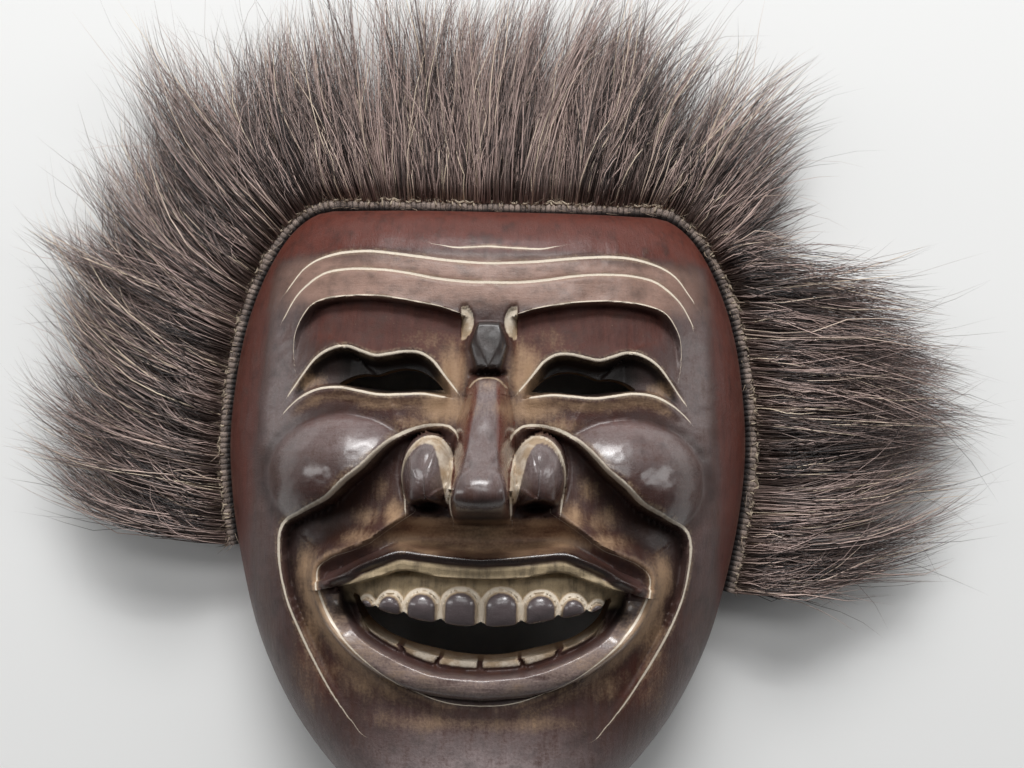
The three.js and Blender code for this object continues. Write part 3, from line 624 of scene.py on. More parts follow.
def unsteady(x, y):
    """The carver's hand: no line is quite where its twin on the other side is."""
    dx = 0.45 * np.sin(x / 17 + 1.3) * np.cos(y / 23) + 0.25 * np.sin(y / 9 + x / 31)
    dy = 0.4 * np.sin(y / 19 + 0.7) * np.cos(x / 21 + 0.4) + 0.3 * np.sin(x / 11 + 2.1)
    return x + dx, y + dy


def tool_marks(x, y):
    """Low waves left by knife, sandpaper and brush: a sum of plane waves, 2 to 20 mm long."""
    rng = np.random.default_rng(5)
    lengths = np.concatenate([rng.uniform(6, 20, 22), rng.uniform(2, 5, 16)])
    waves = zip(lengths, rng.uniform(0, math.pi, 38), rng.uniform(0, 6.28, 38))
    return sum(
        0.0024 * length * np.sin((x * math.cos(turn) + y * math.sin(turn)) / length * 6.28 + start)
        for length, turn, start in waves)


def carved(x, y):
    """The sum of all carving at points in millimetres from the mask's middle."""
    x, y = unsteady(x, y)
    whole_x, x = x, np.abs(x)
    marks = tool_marks(whole_x, y)
    groove = 0
    for line, depth in ((forehead_lines[0], 0.4), (forehead_lines[1], 0.4), (upper_lid, 0.4),
                        (lower_lid, 0.35), (smile_fold, 0.25), (wing_outline, 0.5)):
        d, t = line.near(x, y)
        d = d - line_shift.get(line, 0)
        groove = groove + depth * bell(d / 0.75) * ease(0, 0.06, t) * ease(1, 0.92, t)
    d, t = short_forehead_line.near(whole_x, y)
    groove = groove + 0.3 * bell(d / 0.75) * ease(0, 0.15, t) * ease(1, 0.85, t)
    features = [eye_sockets, eye_lids, brow_boss, nose, nostril_wings, cheeks, smile_trough,
                mouth_surround, lips, chin]
    height = sum(feature(x, y) for feature in features)
    height = height + upper_teeth(x, y)[0] + lower_teeth(x, y)[0] - brow_cut_depth * brow_cuts(x, y)
    return height - groove + marks


# The rows of the surface follow the carving: each guide is a row at shares of the half width, with
# the number of rows between it and the guide above it; they crowd together near the guides
row_guides = [
    ([(0, 1), (1, 1)], 0),
    ([(0, 0.781), (0.2, 0.791), (0.45, 0.816), (0.558, 0.813), (0.64, 0.794), (0.698, 0.759),
      (0.774, 0.671), (1, 0.64)], 17),
    ([(0, 0.72), (0.2, 0.73), (0.41, 0.756), (0.523, 0.759), (0.605, 0.75), (0.663, 0.722),
      (0.762, 0.61), (1, 0.59)], 9),
    ([(0, 0.625), (0.1, 0.62), (0.26, 0.652), (0.5, 0.67), (0.645, 0.647), (0.7, 0.57),
      (0.76, 0.53), (1, 0.53)], 14),
    ([(0, 0.43), *upper_lid.given[:5], *upper_lid.given[6:], (0.8, 0.37), (1, 0.37)], 30),
    ([(0, 0.36), (0.15, 0.38), (0.38, 0.379), (0.52, 0.398), (0.6, 0.393), (0.66, 0.371),
      (0.73, 0.324), (1, 0.3)], 26),
    ([(0, 0.085), (0.18, 0.1), (0.27, 0.15), (0.5, 0.13), (1, 0.1)], 44),
    ([(0, -0.01), (0.2, 0.03), (0.33, 0.01), (0.55, -0.06), (0.7, -0.04), (1, -0.03)], 24),
    ([*upper_lip.given, (0.7, -0.14), (1, -0.13)], 13),
    ([*lip_underside.given[:5], (0.52, -0.178), (0.7, -0.18), (1, -0.17)], 15),
    ([(0, -0.26), (0.2, -0.245), (0.38, -0.215), (0.46, -0.19), (0.54, -0.2), (0.7, -0.22),
      (1, -0.22)], 30),
    ([(0, -0.403), (0.17, -0.39), (0.285, -0.357), (0.407, -0.3), (0.478, -0.235), (0.56, -0.23),
      (0.7, -0.26), (1, -0.28)], 24),
    ([(0, -0.497), (0.169, -0.478), (0.29, -0.433), (0.39, -0.376), (0.477, -0.31), (0.56, -0.26),
      (0.7, -0.33), (1, -0.38)], 20),
    ([(0, -1), (1, -1)], 42),
]
face_columns = 290


def spaced(count, weight):
    """Places from -1 to 1, closer together where the weight is high."""
    fine = np.linspace(-1, 1, 2000)
    run = np.concatenate([[0], np.cumsum((weight(fine[1:]) + weight(fine[:-1])) / 2)])
    return np.interp(np.linspace(0, run[-1], count), run, fine)


def grid_of_rows(columns, guides, crowding=0.4):
    """Heights v of every row at every column; rows crowd together near the guides."""
    places = []
    for line, _ in guides:
        v = along(line, np.abs(columns))
        for _ in range(3):
            v = along(line, np.abs(columns) * along(outline, v))
        places.append(v)
    rows = [places[0]]
    for above, below, (_, count) in zip(places, places[1:], guides[1:]):
        for k in range(1, count + 1):
            share = k / count
            share -= crowding * math.sin(2 * math.pi * share) / (2 * math.pi)
            rows.append(above + (below - above) * share)
    return np.stack(rows[::-1])


def closed_under(name, x, y, z, foot):
    """A closed body in millimetres: a grid of points, walls down to the foot, and a flat bottom."""
    rows, columns = x.shape
    number = np.arange(rows * columns).reshape(rows, columns)
    quads = np.stack([number[:-1, :-1], number[:-1, 1:], number[1:, 1:], number[1:, :-1]], -1)
    loop = np.concatenate([number[0, :-1], number[:-1, -1], number[-1, :0:-1], number[:0:-1, 0]])
    top = np.stack([x.ravel(), y.ravel(), z.ravel()], 1)
    low = top[loop].copy()
    low[:, 2] = foot
    under = rows * columns + np.arange(len(loop))
    walls = np.stack([loop, under, np.roll(under, -1), np.roll(loop, -1)], 1)
    points = np.vstack([top, low]) * mm + np.array(mask_middle)
    faces = [*quads.reshape(-1, 4).tolist(), *walls.tolist(), under[::-1].tolist()]
    return mesh_piece(name, points, faces)


def upright_cutter(name, points):
    """A closed prism over an outline at shares of half width and height, right through the wood."""
    ring = np.asarray(points) * (half_width, half_height)
    count = len(ring)
    low = np.column_stack([ring, np.full(count, -10.0)])
    high = np.column_stack([ring, np.full(count, 2 * face_depth)])
    here = np.arange(count)
    walls = np.stack([here, np.roll(here, -1), np.roll(here, -1) + count, here + count], 1)
    return mesh_piece(name, np.vstack([low, high]) * mm + np.array(mask_middle),
                      [*walls.tolist(), here[::-1].tolist(), (here + count).tolist()])


def cut_away(body, cutters):
    """Cuts each closed cutter out of the body and deletes it."""
    for cutter in cutters:
        cut = body.modifiers.new("cut", "BOOLEAN")
        cut.operation, cut.solver, cut.object = "DIFFERENCE", "MANIFOLD", cutter
        worked_out = body.evaluated_get(bpy.context.evaluated_depsgraph_get())
        made = bpy.data.meshes.new_from_object(worked_out)
        body.modifiers.clear()
        body.data = made
        bpy.data.objects.remove(cutter)


columns = spaced(face_columns, lambda u: 0.35 + 0.65 * ease(0.8, 0.7, np.abs(u))
                 + 0.6 * ease(0.92, 1, np.abs(u)))
v = grid_of_rows(columns, row_guides)
across = np.broadcast_to(columns, v.shape)
x, y = across * along(outline, v) * half_width, v * half_height
edge = ease(1, 0.9, np.abs(across)) * ease(1, 0.95, np.abs(v))
z = dome(across, v, face_depth, side_height) + carved(x, y) * edge
wood = closed_under("wooden_mask_wood", x, y, z, 0)

hollow_columns = spaced(44, lambda u: 1 + 1.5 * ease(0.8, 1, np.abs(u)))
hollow_rows = spaced(52, lambda u: 1 + 2 * ease(0.85, 1, np.abs(u)))
across, v = np.meshgrid(hollow_columns, hollow_rows)
inner = dome(across, v, face_depth - face_thickness, inner_side_height)
gouged = 0.5 * np.sin(across * 17 + 3 * np.sin(v * 5)) * np.sin(v * 21)
gouged = gouged * ease(0.95, 0.8, np.abs(across))
hollow = closed_under("hollow", across * along(outline, v) * (half_width - rim_width),
                      v * (half_height - rim_width), inner + gouged * ease(0.97, 0.85, np.abs(v)),
                      -side_height)

eye_slit = through([
    (0.156, 0.403), (0.198, 0.438), (0.244, 0.46), (0.302, 0.467), (0.355, 0.459), (0.401, 0.446),
    (0.448, 0.447), (0.5, 0.436), (0.535, 0.415), (0.465, 0.408), (0.395, 0.4), (0.326, 0.396),
    (0.256, 0.4), (0.198, 0.401), (0.156, 0.403)], 90)[:-1]
mouth_low = through([
    (-0.45, -0.195), (-0.415, -0.257), (-0.343, -0.305), (-0.26, -0.331), (-0.18, -0.347),
    (-0.09, -0.362), (0, -0.367), (0.09, -0.362), (0.18, -0.347), (0.26, -0.331), (0.343, -0.305),
    (0.415, -0.257), (0.45, -0.195)], 110)
top_u = np.linspace(0.45, -0.45, 160)[1:-1]
bite = np.max([0.012 * round_top((np.abs(top_u) - middle) / half)
               for middle, half in zip(tooth_middle, tooth_half)], axis=0)
mouth_high = np.column_stack([top_u, along(tooth_foot, np.abs(top_u)) + 0.008 - bite])
cut_away(wood, [hollow,
                upright_cutter("right_slit", eye_slit[::-1]),
                upright_cutter("left_slit", eye_slit * (-1, 1)),
                upright_cutter("mouth", np.vstack([mouth_low, mouth_high]))])

wood_points = np.empty((len(wood.data.vertices), 3))
wood.data.vertices.foreach_get("co", wood_points.ravel())
wood_normals = np.empty(wood_points.shape)
wood.data.vertices.foreach_get("normal", wood_normals.ravel())
place = (wood_points - np.array(mask_middle)) / mm
facing = wood_normals[:, 2]
px, py = unsteady(place[:, 0], place[:, 1])
side_x = np.abs(px)
pu, pv = side_x / half_width, py / half_height

# Where the finish differs, and where shade and sheen are painted into the colour. Each is 0 to 1 over
# the wood.
rubbed_spots = [  # middle and reach, as shares of half width and half height, and how strongly
    (0.13, 0.46, 0.065, 0.1, 1.1), (0.22, 0.55, 0.12, 0.05, 0.45), (0.15, 0.35, 0.12, 0.05, 1.05),
    (0.31, 0.04, 0.05, 0.06, 0.85), (0.36, 0.11, 0.05, 0.05, 0.6), (0.2, 0.022, 0.09, 0.02, 1.15),
    (0.42, 0.03, 0.07, 0.04, 0.7), (0.63, -0.13, 0.05, 0.08, 0.95), (0.27, -0.025, 0.11, 0.032, 1.0),
    (0.42, -0.03, 0.12, 0.035, 0.75), (0.59, -0.27, 0.07, 0.12, 0.7), (0.42, -0.42, 0.14, 0.07, 0.6),
    (0.1, -0.535, 0.35, 0.03, 0.6), (0.6, -0.42, 0.1, 0.15, 0.5), (0.25, 0.3, 0.1, 0.03, 0.6),
    (0.0, 0.41, 0.06, 0.03, 0.6), (0.63, 0.42, 0.06, 0.03, 0.7),
]


def spot(u, v, reach_u, reach_v):
    """An oval patch on both halves of the face: a bell across times a bell up and down."""
    return bell((pu - u) / reach_u) * bell((pv - v) / reach_v)


rubbed = np.zeros(side_x.shape)
for su, sv, ru, rv, strength in rubbed_spots:
    rubbed = np.maximum(rubbed, strength * bell(np.hypot((pu - su) / ru, (pv - sv) / rv)))
ridge_d, ridge_t = mouth_ridge.near(side_x, py)
brow_d, brow_t = brow_edge.near(side_x, py)
fold_d, fold_t = smile_fold.near(side_x, py)
wing_d, wing_t = wing_outline.near(side_x, py)
upper_d, under_d, lid_d, low_lid_d, inside_d, low_lip_d = (
    line.near(side_x, py)[0]
    for line in (upper_lip, lip_underside, upper_lid, lower_lid, lower_lip_inside, lower_lip))

around_mouth = along(
    [(0, 0.2), (0.3, 0.6), (0.42, 1.1), (0.55, 0.9), (0.75, 0.55), (1, 0.45)], ridge_t)
under_lid = bell((low_lid_d - 2.8) / 2.4) * ease(0.1, 0.16, pu) * ease(0.78, 0.6, pu)
on_low_lip = round_top(low_lip_d / 5.4) * ease(0.6, -0.4, inside_d)
on_low_lip = on_low_lip * (pv < -0.19) * ease(0.56, 0.5, pu)
muzzle = ease(3.5, -1.0, upper_d) * ease(0.4, 0.2, pu)
muzzle = muzzle * ease(-0.09, -0.05, pv) * ease(0.055, 0.03, pv)
ridge_wear = along([(0.25, 0), (0.4, 0.95), (0.6, 0.8), (0.8, 0.35), (1, 0.3)], ridge_t)
rubbed = np.max([rubbed, around_mouth * bell((ridge_d - 0.6) / 1.7), 0.6 * under_lid,
                 ridge_wear * bell((ridge_d + 2.5) / 3.5), 0.5 * on_low_lip, 0.72 * muzzle], axis=0)

olive = ease(3.0, 3.6, upper_d) * ease(0.5, 0.46, pu) * ease(-0.3, -0.27, pv) * (pv < -0.05)
olive = olive * ease(0.4, 1.4, inside_d) * (1 - ease(0.38, 0.43, pu) * ease(-0.2, -0.225, pv))
# Painted shadow under the upper lip's band
seam_shadow = bell((under_d + 0.1) / 0.6) * ease(0.5, 0.45, pu)
_, on_tooth, tooth_rim = upper_teeth(side_x, py)
_, on_low_tooth = lower_teeth(side_x, py)
cream = np.maximum(brow_cuts(side_x, py), 0.75 * on_low_tooth * ease(0.42, 0.36, pu))

# The wood beside the nostril's wing is pared to a pale face: broad by the nose, narrow outside
pared = along([(0, 1.0), (0.12, 2.8), (0.24, 4.2), (0.34, 4.4), (0.45, 3.6), (0.6, 2.0), (0.75, 1.0),
               (1, 0.5)], wing_t)
on_pared = ease(1.0, 0.6, wing_d / pared) * (wing_d > -0.4)
on_pared = on_pared * ease(0.06, 0.1, pv) * (wing_reach(pu, pv) < 1.5)
bridge = bell((np.hypot(pu / 0.07, (pv - 0.385) / 0.05) - 1) / 0.1) * (pv > 0.405)
cream = np.max([cream, on_pared * (0.95 - 0.35 * ease(0.3, 0.8, wing_t)), 0.75 * bridge], axis=0)

socket = ease(0, 0.8, brow_d) * ease(0.07, 0.1, pu) * ease(0, -1.5, lid_d) * (pv < 0.68) * (pv > 0.4)
socket = socket * (1 - ease(0.8, 1, brow_t))
# Painted shade on the eye funnel's walls, down to the slit
funnel = ease(0.3, 1.0, lid_d) * ease(0.3, 0.9, -low_lid_d)
funnel = funnel * ease(0.13, 0.16, pu) * ease(0.7, 0.66, pu)
funnel = funnel * (1 - 0.75 * ease(0.5, 0.6, pu) * ease(2, 4.5, lid_d))
trough_shade = ease(0, 1.5, fold_d) * (ridge_d < 0) * ease(1, 0.75, fold_t) * bell(fold_d / 14)
under_nose_shadow = spot(0, 0.022, 0.14, 0.014)
above_lip_shade = bell((upper_d + 1.8) / 1.6) * ease(0.35, 0.2, pu)
nostril_shade = spot(0.18, 0.066, 0.055, 0.015)
pit_shade = spot(0.475, -0.225, 0.06, 0.055)
under_tip_shadow = bell(pu / 0.14) * ease(0.078, 0.048, pv) * (pv > -0.015)
tooth_end_shade = on_tooth * ease(3.2, 1.8, (pv - along(tooth_foot, pu)) * half_height)
boss = ease(0, 1, along(boss_half, pv) * half_width - side_x) * (pv > 0.44) * (pv < 0.6)
crest = bell((upper_d - 1.2) / 1.6) * ease(0.55, 0.45, pu) * (pv > -0.2)
lip_foot_shadow = bell((low_lip_d + 5.6) / 2.0) * (pv < -0.3) * ease(0.45, 0.3, pu)
temples = ease(0.81, 0.87, pu + 0.04 * (pv - 0.3)) * ease(-0.6, -0.2, pv)
on_cheek = ease(1.05, 0.9, cheek_reach(pu, pv)) * ease(0.3, -0.3, fold_d)
cheek_low_shade = on_cheek * ease(0.23, 0.12, pv)
valley = bell((cheek_reach(pu, pv) - 1.08) / 0.09) * ease(0.3, -0.3, fold_d) * (pu > 0.3)
tip_low_shade = bell(pu / 0.13) * ease(0.13, 0.07, pv) * (pv > -0.03)
brow_end = spot(0.67, 0.56, 0.05, 0.09)
lip_band_shade = ease(3, 4, upper_d) * ease(0.4, -0.4, under_d) * ease(0.55, 0.5, pu)
# Painted shade, near black: in the eye funnels, smile troughs, nostrils and mouth-corner pits, under
# the nose and its tip, just above the lip crest, under the upper lip's band, at the lower ends of the
# teeth, under the lower lip, on the lower cheeks, in the valley round each cheek, on the upper lip's
# band and over the top of the forehead. With it the black of the boss and the lip crest, and darker
# wood in the sockets, at the brow's outer ends and on the temples.
painted_shade_and_black = np.max([0.2 * socket, 0.3 * lip_band_shade, 0.45 * brow_end, funnel,
                (0.12 + 0.4 * ease(0.45, 0.55, pu)) * trough_shade, under_nose_shadow, 0.7 * above_lip_shade, nostril_shade,
                pit_shade, 0.9 * boss, 0.85 * crest, seam_shadow, under_tip_shadow, 0.75 * tooth_end_shade, 0.65 * lip_foot_shadow,
                0.2 * ease(0.8, 0.86, pv), 0.2 * temples, 0.55 * cheek_low_shade, 0.45 * valley,
                0.6 * tip_low_shade], axis=0)

# Painted sheen: the lacquer's broad pale reflection over the lower forehead, outside the sockets
forehead = ease(0.62, 0.68, pv) * ease(0.825, 0.77, pv) * ease(0.88, 0.62, pu)
forehead = forehead * (1 - ease(0, 0.8, brow_d) * (pv < 0.68) * (pv > 0.4) * ease(1, 0.9, brow_t))
nose_top = along(nose_top_half, pv) * half_width
on_nose = ease(0.45, 0.4, pv) * ease(-0.01, 0.015, pv)
on_nose = on_nose * (side_x < along(nose_foot_half, pv) * half_width)
on_ridge = on_nose * ease(1.3, 0.95, side_x / nose_top) * ease(0.03, 0.07, pv)
wing_bulb = ease(1.0, 0.8, wing_reach(pu, pv)) * ease(0.08, 0.11, pv)
beside_eye = ease(0.6, 0.7, pu) * ease(0.84, 0.78, pu) * ease(0.15, 0.25, pv) * ease(0.72, 0.6, pv)
chin_boss = spot(0, -0.74, 0.42, 0.16)
# Painted sheen: the lacquer's grey glare on the nose ridge, the tops of the wings and cheeks, the
# chin, beside the eyes, on the lower lip and on the outer cheeks
painted_sheen = np.max([0.55 * on_ridge * ease(0.08, 0.18, pv), 0.6 * wing_bulb * ease(0.1, 0.16, pv),
                0.5 * on_cheek * ease(0.14, 0.24, pv), 1.9 * chin_boss, 0.4 * beside_eye,
                0.95 * on_low_lip, 0.25 * spot(0.77, 0.02, 0.1, 0.2)], axis=0)
red = np.max([ease(0.79, 0.85, pv), 0.8 * temples, 0.5 * spot(0.45, 0.3, 0.3, 0.06),
              0.75 * on_nose * (1 - on_ridge), 0.6 * socket, 0.7 * muzzle, 0.6 * cheek_low_shade,
              0.5 * spot(0.55, -0.4, 0.12, 0.16)], axis=0)
polish = np.max([0.3 * boss, crest, on_tooth, 0.9 * on_cheek, 0.9 * on_nose * ease(0, 0.1, pv),
                 wing_bulb, on_low_lip, 0.15 * beside_eye], axis=0)
sideways = np.max([0.9 * forehead, 0.6 * chin_boss, under_lid, on_low_lip, muzzle, 0.7 * olive,
                   0.6 * on_cheek], axis=0)
dull = np.max([socket, 0.6 * olive * (1 - on_tooth), pit_shade, funnel * (pu > 0.5), under_nose_shadow,
               under_tip_shadow], axis=0)

marks = scored(side_x, py, px)
# Bare wood in the hollow and on the rim, but not on the foot of the outer wall
beside = np.abs(place[:, 0]) / (along(outline, place[:, 1] / half_height) * half_width)
to_outline = np.maximum(beside, np.abs(place[:, 1]) / half_height)
is_inside = ((facing < -0.15) & (to_outline < 0.98)).astype(float)
store_values(wood.data, {
    "forehead_lines": marks[:, 0:3],
    "eye_and_mouth_lines": marks[:, 3:6],
    "cheek_nose_lines_and_brow_highlight": marks[:, 6:9],
    "tones": np.column_stack([rubbed, olive * (1 - on_tooth), red]),
    "shades": np.column_stack([forehead, painted_shade_and_black, cream]),
    "sheens": np.column_stack([painted_sheen, polish, dull]),
    "teeth": np.column_stack([on_tooth, tooth_rim, is_inside]),
    "sideways": sideways,
})
wood.data.shade_smooth()
wood.data.set_sharp_from_angle(angle=math.radians(70))

wood_finish = Finish("lacquered_carved_wood")
rub, gum, redness = wood_finish.parts("tones")
# pale is the painted sheen of the forehead; dark is the painted shade together with the black lacquer;
# cut is the pale cut wood
pale, dark, cut = wood_finish.parts("shades")
painted_sheen_share, polished, matt = wood_finish.parts("sheens")
tooth, rim, raw = wood_finish.parts("teeth")
clouds = wood_finish.noise(0.05, 4)
patches = wood_finish.noise(0.16, 5, 0.65)
up_strokes = wood_finish.noise(0.5, 5, 0.62, (1, 0.14, 0.4))
side_strokes = wood_finish.noise(0.5, 5, 0.62, (0.14, 1, 0.4))
strokes = up_strokes + (side_strokes - up_strokes) * (wood_finish.value("sideways") * 0.85 + 0.1)
specks = wood_finish.noise(1.3, 3, 0.6)
pores = wood_finish.noise(2.6, 4, 0.75)

umber = (0.058, 0.024, 0.016)
plum = (0.072, 0.038, 0.035)
red_brown = (0.135, 0.031, 0.019)
painted_sheen_rose = (0.325, 0.2, 0.155)
painted_sheen_mauve = (0.31, 0.25, 0.245)
near_black = (0.011, 0.007, 0.006)
gold = (0.44, 0.285, 0.17)
olive_tan = (0.44, 0.34, 0.21)
olive_dark = (0.13, 0.1, 0.065)
bone = (0.74, 0.65, 0.53)
tan = (0.46, 0.34, 0.22)
raw_wood = (0.34, 0.21, 0.12)
tooth_plum = (0.1, 0.078, 0.08)

gum_colour = wood_finish.mix((patches * 0.7 + up_strokes * 0.6).ease(0.4, 0.78), olive_dark, olive_tan)
cut_colour = wood_finish.mix(patches.ease(0.4, 0.65), tan, bone)
worn = rub * 1.1 + (strokes - 0.5) * 0.9 + (patches - 0.5) * 0.7 + (clouds - 0.5) * 0.8
worn = (worn + (specks - 0.5) * 0.6).ease(0.2, 1.3)
near = None
for channel in ("forehead_lines", "eye_and_mouth_lines", "cheek_nose_lines_and_brow_highlight"):
    for part in wood_finish.parts(channel):
        size = part.math("ABSOLUTE")
        near = size if near is None else near.math("MINIMUM", size)
line = (near + (specks - 0.5) * 0.9 + (strokes - 0.5) * 0.6).ease(1.35, 0.75)
halo = near.ease(5.5, 1.2) * (patches * 0.6 + specks * 0.5).ease(0.45, 0.75)

# Each coat of colour goes over the ones before it, where its share says
colour = wood_finish.mix((strokes * 0.6 + clouds * 0.6).ease(0.42, 0.78), umber, plum)
for share, coat in [
    ((redness * 0.9 + (patches - 0.5) * 1.4).ease(0.1, 1.0), red_brown),
    # Painted sheen across the forehead
    (pale * (0.45 + strokes * 0.75 + (clouds - 0.5) * 0.7), painted_sheen_rose),
    # Painted sheen in grey mauve where the lacquer's glare lies
    (painted_sheen_share * (strokes * 0.9 + patches * 0.6 + (specks - 0.5) * 0.5).ease(0.3, 1.0), painted_sheen_mauve),
    ((patches * 0.7 + strokes * 0.5).ease(0.5, 0.85) * 0.65, near_black),
    # Painted shade, with the black of boss and lip crest
    ((dark + (patches - 0.5) * 0.5 * dark) * 0.95, near_black),
    (gum, gum_colour),
    (worn * 0.8, gold),
    (tooth, tooth_plum),
    (halo * 0.5, tan),
    # The scored lines, and the painted highlight on the brow's edge, in bone
    (line * 0.92, bone),
    ((rim + (specks - 0.5) * 0.3).ease(0.2, 0.45) * 0.85, tan),
    ((rim + (specks - 0.5) * 0.4).ease(0.4, 0.7) * 0.85, bone),
    ((cut + (patches - 0.5) * 0.7 + (specks - 0.5) * 0.3).ease(0.3, 0.8) * 0.85, cut_colour),
    (pores.ease(0.57, 0.72) * 0.55, near_black),
    (specks.ease(0.68, 0.78) * (0.12 + matt * 0.2), tan),
    (raw, raw_wood),
]:
    colour = wood_finish.mix(share, colour, coat)

bare = worn * 0.45
for other in (line, cut * 0.8, raw, matt):
    bare = bare.math("MAXIMUM", other)
roughness = 0.43 - polished * 0.17 + bare * 0.22 + (strokes - 0.5) * 0.3 + (pores - 0.5) * 0.2
gloss = (polished * 1.0 - bare * 0.5 + (pores - 0.5) * 0.5 + 0.09).math("MAXIMUM", 0.0)
relief = strokes * 0.55 + patches * 0.35 + specks * 0.18 + pores * 0.16
wood_finish.wear(wood, Base_Color=colour, Roughness=roughness, Coat_Weight=gloss,
                 Coat_Roughness=0.2, Specular_IOR_Level=0.3,
                 Normal=wood_finish.bump(relief, 0.5 * mm, 0.9))

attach(wood, "root")
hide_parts("wooden_mask")

# The band: a cord laid round the side wall, with the folded ends of the hair looped over it side by
# side, so that it looks ribbed. It runs from the left cheek over the forehead to the right cheek.
band_diameter = 5.6 * mm
band_height = 14.0 * mm
band_gap = 0.7 * mm
band_ends = (-0.085, -0.2)
band_steps = 2520
band_sides = 10
loop_pitch = 1.8 * mm
band_out = band_diameter / 2 + band_gap


def band_line():
    """The foot of the band on the wood: evenly spaced points and the way outwards at each."""
    v, w = outline[outline[:, 0] < 1].T
    left = np.column_stack([-w, v])[v >= band_ends[0]]
    right = np.column_stack([w, v])[v >= band_ends[1]][::-1]
    crown = outline[-1, 1] * np.linspace(-0.9, 0.9, 5)
    corners = np.vstack([left, np.column_stack([crown, np.ones(5)]), right])
    corners = corners * (half_width * mm, half_height * mm)
    run = np.concatenate([[0], np.cumsum(np.linalg.norm(np.diff(corners, axis=0), axis=1))])
    even = np.linspace(0, run[-1], band_steps + 1)
    points = np.column_stack([np.interp(even, run, corners[:, axis]) for axis in (0, 1)])
    here = np.arange(band_steps + 1)
    reach = band_steps // 36
    way = points[np.minimum(here + reach, band_steps)] - points[np.maximum(here - reach, 0)]
    way /= np.linalg.norm(way, axis=1)[:, None]
    outwards = np.column_stack([-way[:, 1], way[:, 0]])
    return points + np.array(mask_middle)[:2], outwards, run[-1]


band_foot, band_outwards, band_length = band_line()


def tube(name, centres, side, up, reach_side, reach_up, sides, attributes=None):
    """A closed tube: round each centre, a ring of side and up, each times its own reach; the reaches
    are arrays of one row for each centre and one column for each corner of the ring."""
    count = len(centres)
    turn = np.arange(sides) / sides * 2 * math.pi
    ring = (centres[:, None] + side[:, None] * (reach_side * np.cos(turn))[..., None]
            + up[:, None] * (reach_up * np.sin(turn))[..., None])
    points = np.vstack([ring.reshape(-1, 3), centres[0], centres[-1]])
    number = np.arange(count * sides).reshape(count, sides)
    after = np.roll(number, -1, axis=1)
    walls = np.stack([number[:-1], after[:-1], after[1:], number[1:]], -1).reshape(-1, 4)
    first = np.column_stack([after[0], number[0], np.full(sides, count * sides)])
    last = np.column_stack([number[-1], after[-1], np.full(sides, count * sides + 1)])
    piece = mesh_piece(name, points, [*walls.tolist(), *first.tolist(), *last.tolist()], attributes)
    piece.data.shade_smooth()
    return piece


def ring_values(values, sides):
    """One value for each centre of a tube, handed to all corners of its ring and to both ends."""
    return np.concatenate([np.repeat(values, sides), values[[0, -1]]])


length_along = np.linspace(0, band_length, band_steps + 1)
turn = np.arange(band_sides) / band_sides * 2 * math.pi
jitter = 0.35 * np.sin(length_along / 0.0083) + 0.3 * np.sin(length_along / 0.0029 + 2)
loop_phase = (length_along / loop_pitch * math.pi + jitter)[:, None] + 0.7 * np.sin(turn)
unevenness = (0.05 * np.sin(length_along / 0.0047)[:, None]
              + 0.04 * np.sin(length_along / 0.0019 + 1)[:, None])
ribs = band_diameter / 2 * (0.9 + 0.14 * np.abs(np.sin(loop_phase)) ** 0.55 + unevenness)
centres = np.column_stack(
    [band_foot + band_outwards * band_out, np.full(len(band_foot), band_height)])
outward = np.column_stack([band_outwards, np.zeros(len(band_outwards))])
upward = np.tile((0.0, 0.0, 1.0), (len(centres), 1))
band = tube("looped_band", centres, outward, upward, ribs, ribs, band_sides,
            {"loop": ring_values(np.floor(length_along / loop_pitch) % 7 / 7, band_sides),
             "outer": np.append(np.tile(np.cos(turn), band_steps + 1), (0, 0)),
             "groove": np.append(np.abs(np.sin(loop_phase)).ravel(), (0, 0))})

band_finish = Finish("looped_hair")
loop = band_finish.value("loop")
fuzz = band_finish.noise(2.2, 4, 0.75)
outer = band_finish.value("outer")
band_dark, band_light = (0.055, 0.04, 0.036), (0.4, 0.31, 0.26)
shadow_between_loops, inner_side_shadow = (0.008, 0.006, 0.005), (0.007, 0.005, 0.005)
# The loops differ in tone at random, and painted light makes the outer side paler
band_tone_and_light = (loop * 0.35 + fuzz * 0.8 + outer * 0.3).ease(0.1, 1.0)
band_colour = band_finish.mix(band_tone_and_light, band_dark, band_light)
# Painted shade in the grooves between the loops, then painted shadow on the inner side, which faces
# the wood
band_colour = band_finish.mix(band_finish.value("groove").ease(0.45, 0.1) * 0.7, band_colour,
                              shadow_between_loops)
band_colour = band_finish.mix(outer.ease(-0.05, -0.55) * 0.93, band_colour, inner_side_shadow)
band_finish.wear(band, Base_Color=band_colour, Roughness=0.7,
                 Normal=band_finish.bump(band_finish.noise(3.0, 3), 0.3 * mm, 0.7))
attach(band, "root")
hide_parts("hair_band")

# The thread: pale waxed yarn of two plies that runs along the outer upper side of the band, with a
# short stitch over the band every few millimetres, drawn tight by hand and so none like the next.
thread_diameter = 1.0 * mm
thread_tilt = math.radians(50)
ply_radius = 0.3 * thread_diameter
ply_offset = 0.24 * thread_diameter
ply_sides = 6
stitch_pitch = 2.6 * mm
stitch_sides = 5
stitch_points = 7
rng = np.random.default_rng(11)


def joined(parts):
    """One array of points, one list of faces and one array of values from several such parts."""
    points, faces, values, start = [], [], [], 0
    for part_points, part_faces, part_values in parts:
        points.append(part_points)
        faces.append(part_faces + start)
        values.append(part_values)
        start += len(part_points)
    return np.vstack(points), np.vstack(faces), np.concatenate(values)


